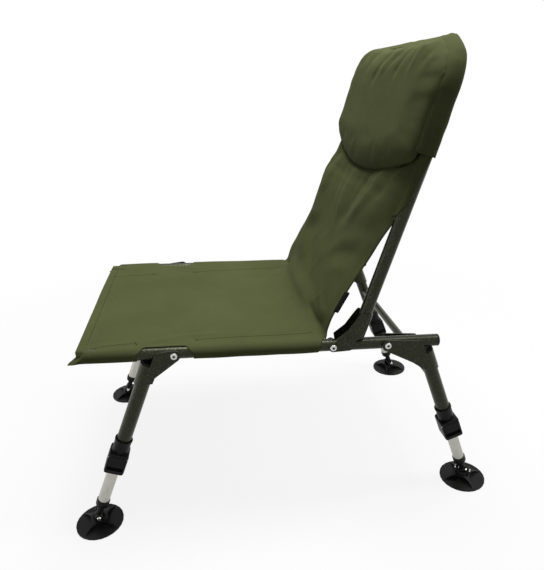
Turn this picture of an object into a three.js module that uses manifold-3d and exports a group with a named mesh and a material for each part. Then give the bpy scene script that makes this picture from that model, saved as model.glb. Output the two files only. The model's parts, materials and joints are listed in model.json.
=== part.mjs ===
// A low folding bank chair: two side rails carry a cloth seat, two pairs of telescopic legs fold
// under them, and a U-shaped back with a head pillow folds forward on to the seat.
// Millimetres, +Z up. The occupant faces -Y and the occupant's left is +X.
// The origin is on the floor under the middle of the chair.
import * as THREE from 'three';
import Module from 'manifold-3d';
import { mergeVertices } from 'three/addons/utils/BufferGeometryUtils.js';

const wasm = await Module();
wasm.setup();
const { Manifold } = wasm;

// Layout of the chair
const halfWidth = 224;
const railHeight = 339.35;
const railSlope = THREE.MathUtils.degToRad(2.92);
const legPivotReach = 187.4;
const backPivotReach = 88.4;
const footReach = 363.7;
const footPinHeight = 20;
const backTilt = THREE.MathUtils.degToRad(18.98);

// Clearances between neighbours
const seatGap = 0.3;
const stopGap = 0.3;
const cutOverrun = 5;

// Facet counts round a full turn
const tubeSides = 18;
const boreSides = 18;
const jointSides = 14;
const rivetSides = 10;
const holeSides = 10;
const discSides = 24;
const ballRings = 6;
const cornerSteps = 2;
const eyeSteps = 5;
const barrelSteps = 4;

// Side rails
const rail = { radius: 11, wall: 1.5, ahead: 143, behind: 95, capThickness: 2 };
const railFront = legPivotReach + rail.ahead;
const railRear = legPivotReach + rail.behind;
const railCap = { flange: 3, spigot: 12, edge: 0.8 };

// Hollow pivot rivets
const rivet = { radius: 4, bore: 2.5, headRadius: 6.3, headCrown: 5.2, head: 1.4, fit: 0.3 };
const spacer = { radius: 7.5 };

// Outer legs and their cross bars
const outerLeg = { radius: 13, wall: 1.8 };
const crossBar = { radius: 8, wall: 1.4, above: 239.5 };
const legPlug = { flange: 2, spigot: 11 };

// Channel brackets that hold the leg heads
const legBracket = {
  wall: 2, wrapBelow: 37, wrapTop: 1, notchBack: 2, topAboveAxis: 7.5, topCorner: 4.5,
  eyeRadius: 10.6, slantRise: 8,
};

// Inner legs
const innerLeg = { radius: 10.75, wall: 1.5, start: 22, stroke: 50, headroom: 4.5 };

// Clamp housings, measured down from the rim
const clamp = {
  rimRadius: 16, collarRadius: 15.1, rim: 3, rimSlope: 0.8, waist: 26.5, height: 67, outerSeat: 28.5,
  halfAcross: 18, back: 16.6, face: 18, cornerRadius: 5, shoulderRadius: 3,
};
const pocket = { half: 14.5, floor: 13.5, leverFoot: 49.8, slotFoot: 60, head: 29.4 };
const lever = {
  half: 14.1, barrelRadius: 2.2, pinBore: 1.5, pinRadius: 1.2, proud: 0.6, lip: 1.2, lipHeight: 3,
  axisDrop: 32.6,
};

// Foot joints, pins and discs, with heights measured from the pin's axis
const footJoint = {
  ballRadius: 8, neckRadius: 5.9, neckTop: 25, collarRadius: 12.5, collarFoot: 29.5, collarTop: 37.4,
  edge: 0.8, holeRadius: 2.9, flareRadius: 5.6, socketWall: 2,
};
const footPin = { radius: 2.5, headRadius: 4.2, headCrown: 3.2, head: 2.2 };
const footDisc = {
  radius: 43.8, rim: 3, coneFoot: 42, coneTop: 17, coneHeight: 13, floorHeight: 9, hubRadius: 10,
  flatNear: 15, flatHalfChord: 25.5, flatChordReach: 27.5,
};
const ear = { gap: 0.4, thickness: 4.4, radius: 7.2, footHalf: 9.5 };

// Back frame, in the frame of the back's pivot: v is rearward from the tube, w is up along it
const backFrame = { radius: 11, wall: 1.5, setBack: 38.2, top: 525, bendRadius: 72, bendSteps: 5 };

// Channel brackets at the feet of the back frame
const backBracket = {
  wall: 2, eyeRadius: 8, top: 75, toe: 33, heelReach: 31.1, heelDrop: 2.3, stepReach: 34.7,
  stepFoot: 6.7, stepTop: 23, kneeReach: 43.5, kneeHeight: 29.5,
};
const bracketBrow = [
  { reach: 0, height: 17.6 },
  { reach: 14.5, height: 38.7 },
  { reach: 22, height: 62 },
];
const bracketBrowTop = 27;

// Cloth
const cloth = { thickness: 1.3 };
const seat = {
  overhang: 10.1, rear: 57, stitchInset: 30, sag: 5, sagSteps: 8, hemDepth: 16, hemThickness: 4.2,
  cutAhead: 63.1, cutBehind: 32.9, cutHead: 5.5, sleeveSides: 16, tongue: 20, tongueInset: 17,
};
const seatFront = railFront + seat.overhang;
const backCloth = {
  foot: 240, bulge: 11, columns: 12, foldDepth: 1.6, folds: 5, openRows: 2, coveredRows: 2, bendRows: 4,
};
const lumbar = { columns: 12, inset: 8, foldDepth: 2.2, folds: 4, bulgeStart: 0.25 };
const pillow = {
  overhang: 1, foot: 302, cornerRise: 45, above: 10, depth: 24, crown: 10, rows: 12, columns: 16,
  gather: 1.6, gathers: 7,
};

// The two kinds of leg. The pivot lies inward of the leg's axis by pivotInset: the rear leg's lies
// further in, so that leg is steeper.
const legKinds = {
  front: { side: -1, pivotInset: 34, clampRim: 179.5, kneeOut: 15.6, kneeRise: 19.5 },
  rear: { side: 1, pivotInset: 62.39, clampRim: 168.5, kneeOut: 30.6, kneeRise: 30.8 },
};

// How far each foot's pin is turned from straight across the chair
const footTurn = {
  front_left: THREE.MathUtils.degToRad(12),
  front_right: 0,
  rear_left: THREE.MathUtils.degToRad(52),
  rear_right: THREE.MathUtils.degToRad(12),
};

// Materials
function finish(color, roughness, metalness) {
  return new THREE.MeshStandardMaterial({ color, roughness, metalness });
}
const paintedSteel = finish(0x34372f, 0.5, 0.4);
const blackPlastic = finish(0x151515, 0.45, 0);
const brightSteel = finish(0xb9bab4, 0.3, 0.9);
const satinAluminium = finish(0xa9a99f, 0.4, 0.8);
const oliveCloth = finish(0x565c3a, 0.85, 0);

// Solid helpers
function solidOf(geometry) {
  const bare = geometry.clone();
  bare.deleteAttribute('normal');
  bare.deleteAttribute('uv');
  bare.clearGroups();
  const merged = mergeVertices(bare);
  const vertProperties = new Float32Array(merged.attributes.position.array);
  const triVerts = new Uint32Array(merged.index.array);
  return new Manifold(new wasm.Mesh({ numProp: 3, vertProperties, triVerts }));
}

function geometryOf(solid) {
  const mesh = solid.getMesh();
  const geometry = new THREE.BufferGeometry();
  const stride = mesh.numProp;
  const count = mesh.vertProperties.length / stride;
  const positions = new Float32Array(count * 3);
  for (let i = 0; i < count; i += 1) {
    for (let axis = 0; axis < 3; axis += 1) {
      positions[i * 3 + axis] = mesh.vertProperties[i * stride + axis];
    }
  }
  geometry.setAttribute('position', new THREE.BufferAttribute(positions, 3));
  geometry.setIndex(Array.from(mesh.triVerts));
  geometry.computeVertexNormals();
  return geometry;
}

function piece(name, solid, material) {
  const mesh = new THREE.Mesh(geometryOf(solid), material);
  mesh.name = name;
  return mesh;
}

function pointsOf(pairs) {
  return pairs.map(([x, y]) => new THREE.Vector2(x, y));
}

// A body of revolution about the local Z axis from [radius, height] pairs. An open profile starts
// and ends on the axis, and a closed one is a ring.
function turned(pairs, sides) {
  const geometry = new THREE.LatheGeometry(pointsOf(pairs), sides);
  geometry.rotateX(Math.PI / 2);
  return solidOf(geometry);
}

function ring(pairs, sides) {
  return turned([...pairs, pairs[0]], sides);
}

function rod(radius, low, high, sides) {
  return turned([[0, low], [radius, low], [radius, high], [0, high]], sides);
}

function pipe(radius, wall, low, high, sides) {
  const inner = radius - wall;
  return ring([[inner, low], [radius, low], [radius, high], [inner, high]], sides);
}

function turnedTo(solid, rotation) {
  const matrix = new THREE.Matrix4().makeRotationFromEuler(rotation);
  return solid.transform(Array.from(matrix.elements));
}

const alongX = new THREE.Euler(0, Math.PI / 2, 0);
const alongY = new THREE.Euler(-Math.PI / 2, 0, 0);

function rodAcross(radius, halfLength, sides) {
  return turnedTo(rod(radius, -halfLength, halfLength, sides), alongX);
}

// An outline in the (y, z) plane, given a thickness from one x to another
function sidePlate(shape, fromX, toX, segments) {
  const geometry = new THREE.ExtrudeGeometry(shape, {
    depth: toX - fromX, bevelEnabled: false, curveSegments: segments,
  });
  geometry.rotateX(Math.PI / 2);
  geometry.rotateZ(Math.PI / 2);
  geometry.translate(fromX, 0, 0);
  return solidOf(geometry);
}

// An outline in the (x, y) plane, given a height from one z to another
function upright(shape, fromZ, toZ, segments) {
  const geometry = new THREE.ExtrudeGeometry(shape, {
    depth: toZ - fromZ, bevelEnabled: false, curveSegments: segments,
  });
  geometry.translate(0, 0, fromZ);
  return solidOf(geometry);
}

function block(fromX, toX, fromY, toY, fromZ, toZ) {
  const geometry = new THREE.BoxGeometry(toX - fromX, toY - fromY, toZ - fromZ);
  geometry.translate((fromX + toX) / 2, (fromY + toY) / 2, (fromZ + toZ) / 2);
  return solidOf(geometry);
}

// The point where a line from an outside point touches a circle, on the chosen side of the line
// from that point to the centre
function touchPoint(from, centre, radius, side) {
  const dx = centre[0] - from[0];
  const dy = centre[1] - from[1];
  const distance = Math.hypot(dx, dy);
  const reach = Math.sqrt(distance * distance - radius * radius);
  const turn = Math.atan2(dy, dx) + side * Math.asin(radius / distance);
  return [from[0] + reach * Math.cos(turn), from[1] + reach * Math.sin(turn)];
}

function angleFrom(centre, point) {
  return Math.atan2(point[1] - centre[1], point[0] - centre[0]);
}

// The section of a channel that hugs a tube: half round on one side, two flanges running away from
// it to the given reach. The flanges run towards +y when way is 1 and towards -y when it is -1.
function channelSection(inner, wall, reach, way) {
  const outer = inner + wall;
  const shape = new THREE.Shape();
  shape.moveTo(outer, way * reach);
  shape.lineTo(outer, 0);
  shape.absarc(0, 0, outer, 0, -way * Math.PI, way > 0);
  shape.lineTo(-outer, way * reach);
  shape.lineTo(-inner, way * reach);
  shape.lineTo(-inner, 0);
  shape.absarc(0, 0, inner, -way * Math.PI, 0, way < 0);
  shape.lineTo(inner, way * reach);
  return shape;
}

// A path through chosen stations, each with its own direction
class StationPath extends THREE.Curve {
  constructor(points, tangents) {
    super();
    this.points = points;
    this.tangents = tangents;
  }

  getPoint(share) {
    return this.points[Math.round(share * (this.points.length - 1))].clone();
  }

  getPointAt(share) {
    return this.getPoint(share);
  }

  getTangent(share) {
    return this.tangents[Math.round(share * (this.tangents.length - 1))].clone();
  }

  getTangentAt(share) {
    return this.getTangent(share);
  }
}

// The centre line of the back frame in its own (x, w) plane, from one foot over to the other
function backPath(footHeight) {
  const { top, bendRadius, bendSteps } = backFrame;
  const points = [new THREE.Vector3(halfWidth, 0, footHeight)];
  const tangents = [new THREE.Vector3(0, 0, 1)];
  for (const side of [1, -1]) {
    for (let step = 0; step <= bendSteps; step += 1) {
      const angle = (step / bendSteps) * (Math.PI / 2);
      const around = side > 0 ? angle : Math.PI / 2 - angle;
      const x = halfWidth - bendRadius + bendRadius * Math.cos(around);
      const z = top - bendRadius + bendRadius * Math.sin(around);
      points.push(new THREE.Vector3(side * x, 0, z));
      tangents.push(new THREE.Vector3(-Math.sin(around), 0, side * Math.cos(around)));
    }
  }
  points.push(new THREE.Vector3(-halfWidth, 0, footHeight));
  tangents.push(new THREE.Vector3(0, 0, -1));
  return new StationPath(points, tangents);
}

function tubeAlong(path, radius, inner, sides) {
  const section = new THREE.Shape();
  section.absarc(0, 0, radius, 0, Math.PI * 2, false);
  const hollow = new THREE.Path();
  hollow.absarc(0, 0, inner, 0, Math.PI * 2, true);
  section.holes.push(hollow);
  const geometry = new THREE.ExtrudeGeometry(section, {
    steps: path.points.length - 1, curveSegments: sides / 2, bevelEnabled: false, extrudePath: path,
  });
  return solidOf(geometry);
}

// A thin closed sheet. frontAt gives the front point of a place, across and up, both 0 to 1, and
// backOffset the way from there to the back face.
function sheet(columns, rows, frontAt, backOffset) {
  const positions = [];
  const index = [];
  const stride = columns + 1;
  const layer = stride * (rows + 1);
  for (const face of [0, 1]) {
    for (let row = 0; row <= rows; row += 1) {
      for (let column = 0; column <= columns; column += 1) {
        const point = frontAt(column / columns, row / rows);
        if (face === 1) {
          point.add(backOffset(column / columns, row / rows));
        }
        positions.push(point.x, point.y, point.z);
      }
    }
  }
  function quad(a, b, c, d) {
    index.push(a, b, c, a, c, d);
  }
  for (let row = 0; row < rows; row += 1) {
    for (let column = 0; column < columns; column += 1) {
      const a = row * stride + column;
      quad(a, a + 1, a + 1 + stride, a + stride);
      quad(layer + a, layer + a + stride, layer + a + 1 + stride, layer + a + 1);
    }
  }
  for (let column = 0; column < columns; column += 1) {
    const low = column;
    const high = rows * stride + column;
    quad(low, low + layer, low + 1 + layer, low + 1);
    quad(high, high + 1, high + 1 + layer, high + layer);
  }
  for (let row = 0; row < rows; row += 1) {
    const left = row * stride;
    const right = row * stride + columns;
    quad(left, left + stride, left + stride + layer, left + layer);
    quad(right, right + layer, right + stride + layer, right + stride);
  }
  const geometry = new THREE.BufferGeometry();
  geometry.setAttribute('position', new THREE.Float32BufferAttribute(positions, 3));
  geometry.setIndex(index);
  return geometry;
}

// Side rails: a tube with a closed front end, drilled for its three rivets
const rivetHole = rivet.radius + rivet.fit;

function railSolid() {
  const inner = rail.radius - rail.wall;
  const tube = turnedTo(turned([
    [0, -railFront], [rail.radius, -railFront], [rail.radius, railRear], [inner, railRear],
    [inner, rail.capThickness - railFront], [0, rail.capThickness - railFront],
  ], tubeSides), alongY);
  let drilled = tube;
  for (const reach of [-legPivotReach, backPivotReach, legPivotReach]) {
    const drill = rodAcross(rivetHole, rail.radius + cutOverrun, holeSides).translate([0, reach, 0]);
    drilled = drilled.subtract(drill);
  }
  return drilled;
}

function railCapSolid() {
  const inner = rail.radius - rail.wall - seatGap;
  const face = railRear + seatGap;
  return turnedTo(turned([
    [0, face - railCap.spigot],
    [inner, face - railCap.spigot],
    [inner, face],
    [rail.radius, face],
    [rail.radius, face + railCap.flange - railCap.edge],
    [rail.radius - railCap.edge, face + railCap.flange],
    [0, face + railCap.flange],
  ], tubeSides), alongY);
}

// Hollow rivets: a barrel with a rounded head at each end. A leg's rivet carries two spacer rings
// that fill the room between the rail and the bracket's flanges.
function rivetSolid(flangeFace, flangeInner, withSpacers) {
  const headFoot = flangeFace + seatGap;
  const half = [
    [rivet.radius, headFoot],
    [rivet.headRadius, headFoot],
    [rivet.headCrown, headFoot + rivet.head],
    [rivet.bore, headFoot + rivet.head],
  ];
  const spacerRing = [
    [rivet.radius, rail.radius + seatGap],
    [spacer.radius, rail.radius + seatGap],
    [spacer.radius, flangeInner - seatGap],
    [rivet.radius, flangeInner - seatGap],
  ];
  const upper = withSpacers ? [...spacerRing, ...half] : half;
  const lower = upper.map(([radius, height]) => [radius, -height]).reverse();
  return turnedTo(ring([...lower, ...upper], rivetSides), alongX);
}

// Places along a leg, in a frame at the foot pin: w runs up the leg and v runs inward across it.
// The leg leans just so far that its pivot comes to lie on the rail's axis.
function legPlaces(kind) {
  const inward = footReach - legPivotReach * Math.cos(railSlope);
  const up = railHeight - kind.side * legPivotReach * Math.sin(railSlope) - footPinHeight;
  const span = Math.hypot(inward, up);
  const tilt = Math.atan2(inward, up) - Math.asin(kind.pivotInset / span);
  const pivot = [kind.pivotInset, Math.sqrt(span ** 2 - kind.pivotInset ** 2)];
  const railAngle = tilt + kind.side * railSlope;
  const undersideFoot = pivot[1] - rail.radius / Math.cos(railAngle);
  const undersideAt = (v) => undersideFoot + (v - pivot[0]) * Math.tan(railAngle);
  const plugTop = undersideAt(-outerLeg.radius) - stopGap;
  const tubeTop = plugTop - legPlug.flange;
  const plugFoot = tubeTop - legPlug.spigot;
  const innerTop = plugFoot - innerLeg.headroom - innerLeg.stroke;
  const wrapTop = tubeTop - legBracket.wrapTop;
  const wrapBottom = wrapTop - legBracket.wrapBelow;
  return { tilt, pivot, railAngle, plugTop, plugFoot, tubeTop, innerTop, wrapTop, wrapBottom };
}

// Leg bracket: a channel section given its side outline. The round side hugs the leg's outboard
// face, and the two flanges run inward past the rail to the pivot's eye.
function legBracketSolid(kind) {
  const { pivot, railAngle, wrapTop, wrapBottom } = legPlaces(kind);
  const inner = outerLeg.radius + seatGap;
  const outer = inner + legBracket.wall;
  const reach = pivot[0] + legBracket.eyeRadius + cutOverrun;
  const topAt = (v) => pivot[1] + (v - pivot[0]) * Math.tan(railAngle)
    + legBracket.topAboveAxis / Math.cos(railAngle);
  const notch = [legBracket.notchBack, topAt(legBracket.notchBack)];
  const along = [Math.cos(railAngle), Math.sin(railAngle)];
  const cornerLow = [notch[0], notch[1] - legBracket.topCorner];
  const cornerHigh = notch.map((place, axis) => place + legBracket.topCorner * along[axis]);
  const knee = [kind.kneeOut, wrapBottom + kind.kneeRise];
  const eyeTop = touchPoint(cornerHigh, pivot, legBracket.eyeRadius, 1);
  const eyeFoot = touchPoint(knee, pivot, legBracket.eyeRadius, -1);
  const outline = new THREE.Shape();
  outline.moveTo(-outer - cutOverrun, wrapBottom - legBracket.slantRise);
  outline.lineTo(outer, wrapBottom + legBracket.slantRise);
  outline.lineTo(knee[0], knee[1]);
  outline.lineTo(eyeFoot[0], eyeFoot[1]);
  outline.absarc(pivot[0], pivot[1], legBracket.eyeRadius, angleFrom(pivot, eyeFoot),
    angleFrom(pivot, eyeTop), false);
  outline.lineTo(cornerHigh[0], cornerHigh[1]);
  outline.quadraticCurveTo(notch[0], notch[1], cornerLow[0], cornerLow[1]);
  outline.lineTo(notch[0], wrapTop);
  outline.lineTo(-outer - cutOverrun, wrapTop);
  const section = channelSection(inner, legBracket.wall, reach, 1);
  const channel = upright(section, wrapBottom - outer - cutOverrun, pivot[1] + outer + cutOverrun,
    tubeSides / 2);
  const cut = sidePlate(outline, -outer - cutOverrun, outer + cutOverrun, eyeSteps);
  const hole = rodAcross(rivetHole, outer + cutOverrun, holeSides).translate([0, pivot[0], pivot[1]]);
  return channel.intersect(cut).subtract(hole);
}

function outerLegSolid(kind) {
  const foot = kind.clampRim - clamp.outerSeat;
  return pipe(outerLeg.radius, outerLeg.wall, foot, legPlaces(kind).tubeTop, tubeSides);
}

function legPlugSolid(kind) {
  const { plugTop, plugFoot, tubeTop } = legPlaces(kind);
  const inner = outerLeg.radius - outerLeg.wall - seatGap;
  return turned([
    [0, plugFoot],
    [inner, plugFoot],
    [inner, tubeTop + seatGap],
    [outerLeg.radius, tubeTop + seatGap],
    [outerLeg.radius, plugTop],
    [0, plugTop],
  ], tubeSides);
}

// The bar between two legs, with its ends hollowed to sit round them
function crossBarSolid() {
  const bar = turnedTo(pipe(crossBar.radius, crossBar.wall, -halfWidth, halfWidth, tubeSides), alongX);
  let mouthed = bar;
  for (const side of [1, -1]) {
    const reach = outerLeg.radius + crossBar.radius;
    const mouth = rod(outerLeg.radius + seatGap, -reach, reach, boreSides);
    mouthed = mouthed.subtract(mouth.translate([side * halfWidth, 0, 0]));
  }
  const pieces = mouthed.decompose();
  pieces.sort((a, b) => b.volume() - a.volume());
  return pieces[0];
}

// Clamp housing: a rimmed collar round the outer leg that grows into a squared box round the inner
// one. A pocket in the box's face takes the lever, and its lower part is the finger slot.
function clampSolid(kind) {
  const rim = kind.clampRim;
  const boxTop = rim - clamp.waist;
  const foot = rim - clamp.height;
  const outerFoot = rim - clamp.outerSeat;
  const collar = turned([
    [0, boxTop - cutOverrun],
    [clamp.collarRadius, boxTop - cutOverrun],
    [clamp.collarRadius, rim - clamp.rim - clamp.rimSlope],
    [clamp.rimRadius, rim - clamp.rim],
    [clamp.rimRadius, rim],
    [0, rim],
  ], tubeSides);
  const corner = clamp.cornerRadius;
  const shoulder = clamp.shoulderRadius;
  const half = clamp.halfAcross;
  const front = new THREE.Shape();
  front.moveTo(-half + corner, foot);
  front.lineTo(half - corner, foot);
  front.absarc(half - corner, foot + corner, corner, -Math.PI / 2, 0, false);
  front.lineTo(half, boxTop - shoulder);
  front.absarc(half - shoulder, boxTop - shoulder, shoulder, 0, Math.PI / 2, false);
  front.lineTo(-half + shoulder, boxTop);
  front.absarc(-half + shoulder, boxTop - shoulder, shoulder, Math.PI / 2, Math.PI, false);
  front.lineTo(-half, foot + corner);
  front.absarc(-half + corner, foot + corner, corner, Math.PI, Math.PI * 1.5, false);
  const box = sidePlate(front, -clamp.back, clamp.face, cornerSteps);
  const plan = new THREE.Shape();
  plan.moveTo(-clamp.back + corner, -half);
  plan.lineTo(clamp.face - shoulder, -half);
  plan.absarc(clamp.face - shoulder, -half + shoulder, shoulder, -Math.PI / 2, 0, false);
  plan.lineTo(clamp.face, half - shoulder);
  plan.absarc(clamp.face - shoulder, half - shoulder, shoulder, 0, Math.PI / 2, false);
  plan.lineTo(-clamp.back + corner, half);
  plan.absarc(-clamp.back + corner, half - corner, corner, Math.PI / 2, Math.PI, false);
  plan.lineTo(-clamp.back, -half + corner);
  plan.absarc(-clamp.back + corner, -half + corner, corner, Math.PI, Math.PI * 1.5, false);
  const rounded = upright(plan, foot - cutOverrun, boxTop + cutOverrun, cornerSteps);
  const upperBore = rod(outerLeg.radius + seatGap, outerFoot - seatGap, rim + cutOverrun, boreSides);
  const lowerBore = rod(innerLeg.radius + seatGap, foot - cutOverrun, rim, boreSides);
  const recess = block(pocket.floor, clamp.face + cutOverrun, -pocket.half, pocket.half,
    rim - pocket.slotFoot, rim - pocket.head);
  const pinHole = turnedTo(rod(lever.pinBore, -half - cutOverrun, half + cutOverrun, holeSides), alongY)
    .translate([leverAxisX(), 0, rim - lever.axisDrop]);
  return box.intersect(rounded).add(collar).subtract(upperBore).subtract(lowerBore).subtract(recess)
    .subtract(pinHole);
}

function leverAxisX() {
  return pocket.floor + seatGap + lever.barrelRadius;
}

// Lever: a plate in the pocket that turns on a barrel at its upper end, in its own frame at the pin.
// Its lower edge is turned out a little, so that a finger catches it.
function leverSolid() {
  const backX = pocket.floor + seatGap - leverAxisX();
  const faceX = clamp.face - leverAxisX();
  const tip = lever.axisDrop - pocket.leverFoot;
  const outline = new THREE.Shape();
  outline.moveTo(backX, 0);
  outline.lineTo(backX, tip);
  outline.lineTo(faceX + lever.lip, tip);
  outline.lineTo(faceX + lever.lip, tip + lever.lipHeight);
  outline.lineTo(faceX + lever.proud, tip + lever.lipHeight * 2);
  outline.lineTo(faceX + lever.proud, -lever.barrelRadius);
  outline.quadraticCurveTo(faceX + lever.proud, lever.barrelRadius, 0, lever.barrelRadius);
  outline.absarc(0, 0, lever.barrelRadius, Math.PI / 2, Math.PI, false);
  const geometry = new THREE.ExtrudeGeometry(outline, {
    depth: lever.half * 2, bevelEnabled: false, curveSegments: barrelSteps,
  });
  geometry.rotateX(Math.PI / 2);
  geometry.translate(0, lever.half, 0);
  const holeReach = lever.half + cutOverrun;
  const hole = turnedTo(rod(lever.pinBore, -holeReach, holeReach, holeSides), alongY);
  return solidOf(geometry).subtract(hole);
}

function leverPinSolid() {
  return turnedTo(rod(lever.pinRadius, -clamp.halfAcross, clamp.halfAcross, holeSides), alongY);
}

function innerLegSolid(kind) {
  return pipe(innerLeg.radius, innerLeg.wall, innerLeg.start + footJoint.socketWall + seatGap + seatGap,
    legPlaces(kind).innerTop, tubeSides);
}

// Foot joint: a collar that holds the inner leg, a neck, and a ball that sits between the disc's
// ears. The ball's hole flares both ways, so the disc can rock on its pin.
function footJointSolid() {
  const bore = innerLeg.radius + seatGap;
  const seatFloor = innerLeg.start + footJoint.socketWall + seatGap;
  const body = turned([
    [0, 0],
    [footJoint.neckRadius, 0],
    [footJoint.neckRadius, innerLeg.start - footJoint.socketWall],
    [footJoint.collarRadius - footJoint.edge, footJoint.neckTop],
    [footJoint.collarRadius, footJoint.collarFoot],
    [footJoint.collarRadius, footJoint.collarTop - footJoint.edge],
    [footJoint.collarRadius - footJoint.edge, footJoint.collarTop],
    [bore, footJoint.collarTop],
    [bore, seatFloor],
    [0, seatFloor],
  ], jointSides);
  const ballGeometry = new THREE.SphereGeometry(footJoint.ballRadius, jointSides, ballRings);
  const ball = solidOf(ballGeometry);
  const flare = flaredHole(footJoint.holeRadius, footJoint.flareRadius, footJoint.ballRadius);
  return body.add(ball).subtract(flare);
}

// The cutter for a hole along X that widens towards both mouths
function flaredHole(waistRadius, mouthRadius, reach) {
  return turnedTo(turned([
    [0, -reach], [mouthRadius, -reach], [waistRadius, 0], [mouthRadius, reach], [0, reach],
  ], holeSides), alongX);
}

function footPinSolid() {
  const earFace = footJoint.ballRadius + ear.gap + ear.thickness;
  const headFoot = earFace + seatGap;
  return turnedTo(turned([
    [0, -headFoot - footPin.head],
    [footPin.headCrown, -headFoot - footPin.head],
    [footPin.headRadius, -headFoot],
    [footPin.radius, -headFoot],
    [footPin.radius, headFoot],
    [footPin.headRadius, headFoot],
    [footPin.headCrown, headFoot + footPin.head],
    [0, headFoot + footPin.head],
  ], rivetSides), alongX);
}

// Foot disc, in the frame of its pin: a shallow cone on a rimmed disc, scooped on four sides so
// that four ridges run out to the rim, with two ears for the pin
function footDiscSolid() {
  const floor = -footPinHeight;
  const cone = turned([
    [0, floor],
    [footDisc.radius, floor],
    [footDisc.radius, floor + footDisc.rim],
    [footDisc.coneFoot, floor + footDisc.rim],
    [footDisc.coneTop, floor + footDisc.coneHeight],
    [footDisc.hubRadius, floor + footDisc.coneHeight],
    [footDisc.hubRadius, floor + footDisc.floorHeight],
    [0, floor + footDisc.floorHeight],
  ], discSides);
  const near = footDisc.flatNear;
  const chord = footDisc.flatChordReach;
  const halfChord = footDisc.flatHalfChord;
  const scoopCentre = (chord * chord + halfChord * halfChord - near * near) / (2 * (chord - near));
  const scoop = rod(scoopCentre - near, floor + footDisc.rim, cutOverrun, discSides);
  let disc = cone;
  for (let turn = 0; turn < 4; turn += 1) {
    const angle = (turn * Math.PI) / 2;
    const place = [scoopCentre * Math.cos(angle), scoopCentre * Math.sin(angle), 0];
    disc = disc.subtract(scoop.translate(place));
  }
  const earInner = footJoint.ballRadius + ear.gap;
  const earOuter = earInner + ear.thickness;
  const outline = new THREE.Shape();
  const earFoot = floor + footDisc.rim / 2;
  const leftTouch = touchPoint([-ear.footHalf, earFoot], [0, 0], ear.radius, 1);
  const rightTouch = touchPoint([ear.footHalf, earFoot], [0, 0], ear.radius, -1);
  outline.moveTo(-ear.footHalf, earFoot);
  outline.lineTo(ear.footHalf, earFoot);
  outline.lineTo(rightTouch[0], rightTouch[1]);
  outline.absarc(0, 0, ear.radius, angleFrom([0, 0], rightTouch), angleFrom([0, 0], leftTouch), false);
  const rightEar = sidePlate(outline, earInner, earOuter, eyeSteps);
  const leftEar = sidePlate(outline, -earOuter, -earInner, eyeSteps);
  const hole = rodAcross(footPin.radius + seatGap, earOuter + cutOverrun, holeSides);
  return disc.add(rightEar).add(leftEar).subtract(hole);
}

// Back frame: one tube bent into a U. Its feet stop just above the rails.
function railTopAt(v) {
  const angle = backTilt - railSlope;
  return v * Math.tan(angle) + rail.radius / Math.cos(angle);
}

function backFrameSolid() {
  const foot = railTopAt(backFrame.setBack + backFrame.radius) + stopGap;
  return tubeAlong(backPath(foot), backFrame.radius, backFrame.radius - backFrame.wall, tubeSides)
    .translate([0, backFrame.setBack, 0]);
}

// Back bracket: a channel that hugs the rear of the upright's foot, with two flanges that run
// forward and down past the rail to the pivot's eye
function backBracketSolid() {
  const inner = backFrame.radius + seatGap;
  const outer = inner + backBracket.wall;
  const reach = backFrame.setBack + backBracket.eyeRadius + cutOverrun;
  const eye = backBracket.eyeRadius;
  const brow = bracketBrow[0];
  const eyeTop = touchPoint([brow.reach, brow.height], [0, 0], eye, 1);
  const eyeFoot = touchPoint([backBracket.heelReach, backBracket.heelDrop], [0, 0], eye, 1);
  const outline = new THREE.Shape();
  outline.moveTo(eyeFoot[0], eyeFoot[1]);
  outline.lineTo(backBracket.heelReach, backBracket.heelDrop);
  outline.lineTo(backBracket.stepReach, backBracket.stepFoot);
  outline.lineTo(backBracket.stepReach, backBracket.stepTop);
  outline.lineTo(backBracket.kneeReach, backBracket.kneeHeight);
  outline.lineTo(backFrame.setBack + outer + cutOverrun, backBracket.toe);
  outline.lineTo(backFrame.setBack + outer + cutOverrun, backBracket.top);
  outline.lineTo(bracketBrowTop, backBracket.top);
  for (const place of [...bracketBrow].reverse()) {
    outline.lineTo(place.reach, place.height);
  }
  outline.lineTo(eyeTop[0], eyeTop[1]);
  outline.absarc(0, 0, eye, angleFrom([0, 0], eyeTop), angleFrom([0, 0], eyeFoot), false);
  const section = channelSection(inner, backBracket.wall, reach, -1);
  const channel = upright(section, -eye - cutOverrun, backBracket.top + cutOverrun, tubeSides / 2)
    .translate([0, backFrame.setBack, 0]);
  const cut = sidePlate(outline, -outer - cutOverrun, outer + cutOverrun, eyeSteps);
  const hole = rodAcross(rivetHole, outer + cutOverrun, holeSides);
  return channel.intersect(cut).subtract(hole);
}

// An outline in the (x, z) plane, given a length from one y to another
function strip(shape, fromY, toY, segments) {
  const geometry = new THREE.ExtrudeGeometry(shape, {
    depth: toY - fromY, bevelEnabled: false, curveSegments: segments,
  });
  geometry.rotateX(Math.PI / 2);
  geometry.translate(0, toY, 0);
  return solidOf(geometry);
}

function seatSection(half, bottom, top) {
  const stitch = halfWidth - seat.stitchInset;
  const sagAt = (x) => seat.sag * (1 - (x / stitch) ** 2);
  const stations = [];
  for (let step = 0; step <= seat.sagSteps; step += 1) {
    const x = -stitch + (2 * stitch * step) / seat.sagSteps;
    stations.push([x, sagAt(x)]);
  }
  const section = new THREE.Shape();
  section.moveTo(-half, bottom);
  for (const [x, drop] of stations) {
    section.lineTo(x, bottom - drop);
  }
  section.lineTo(half, bottom);
  section.lineTo(half, top);
  for (const [x, drop] of [...stations].reverse()) {
    section.lineTo(x, top - drop);
  }
  section.lineTo(-half, top);
  return section;
}

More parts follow.
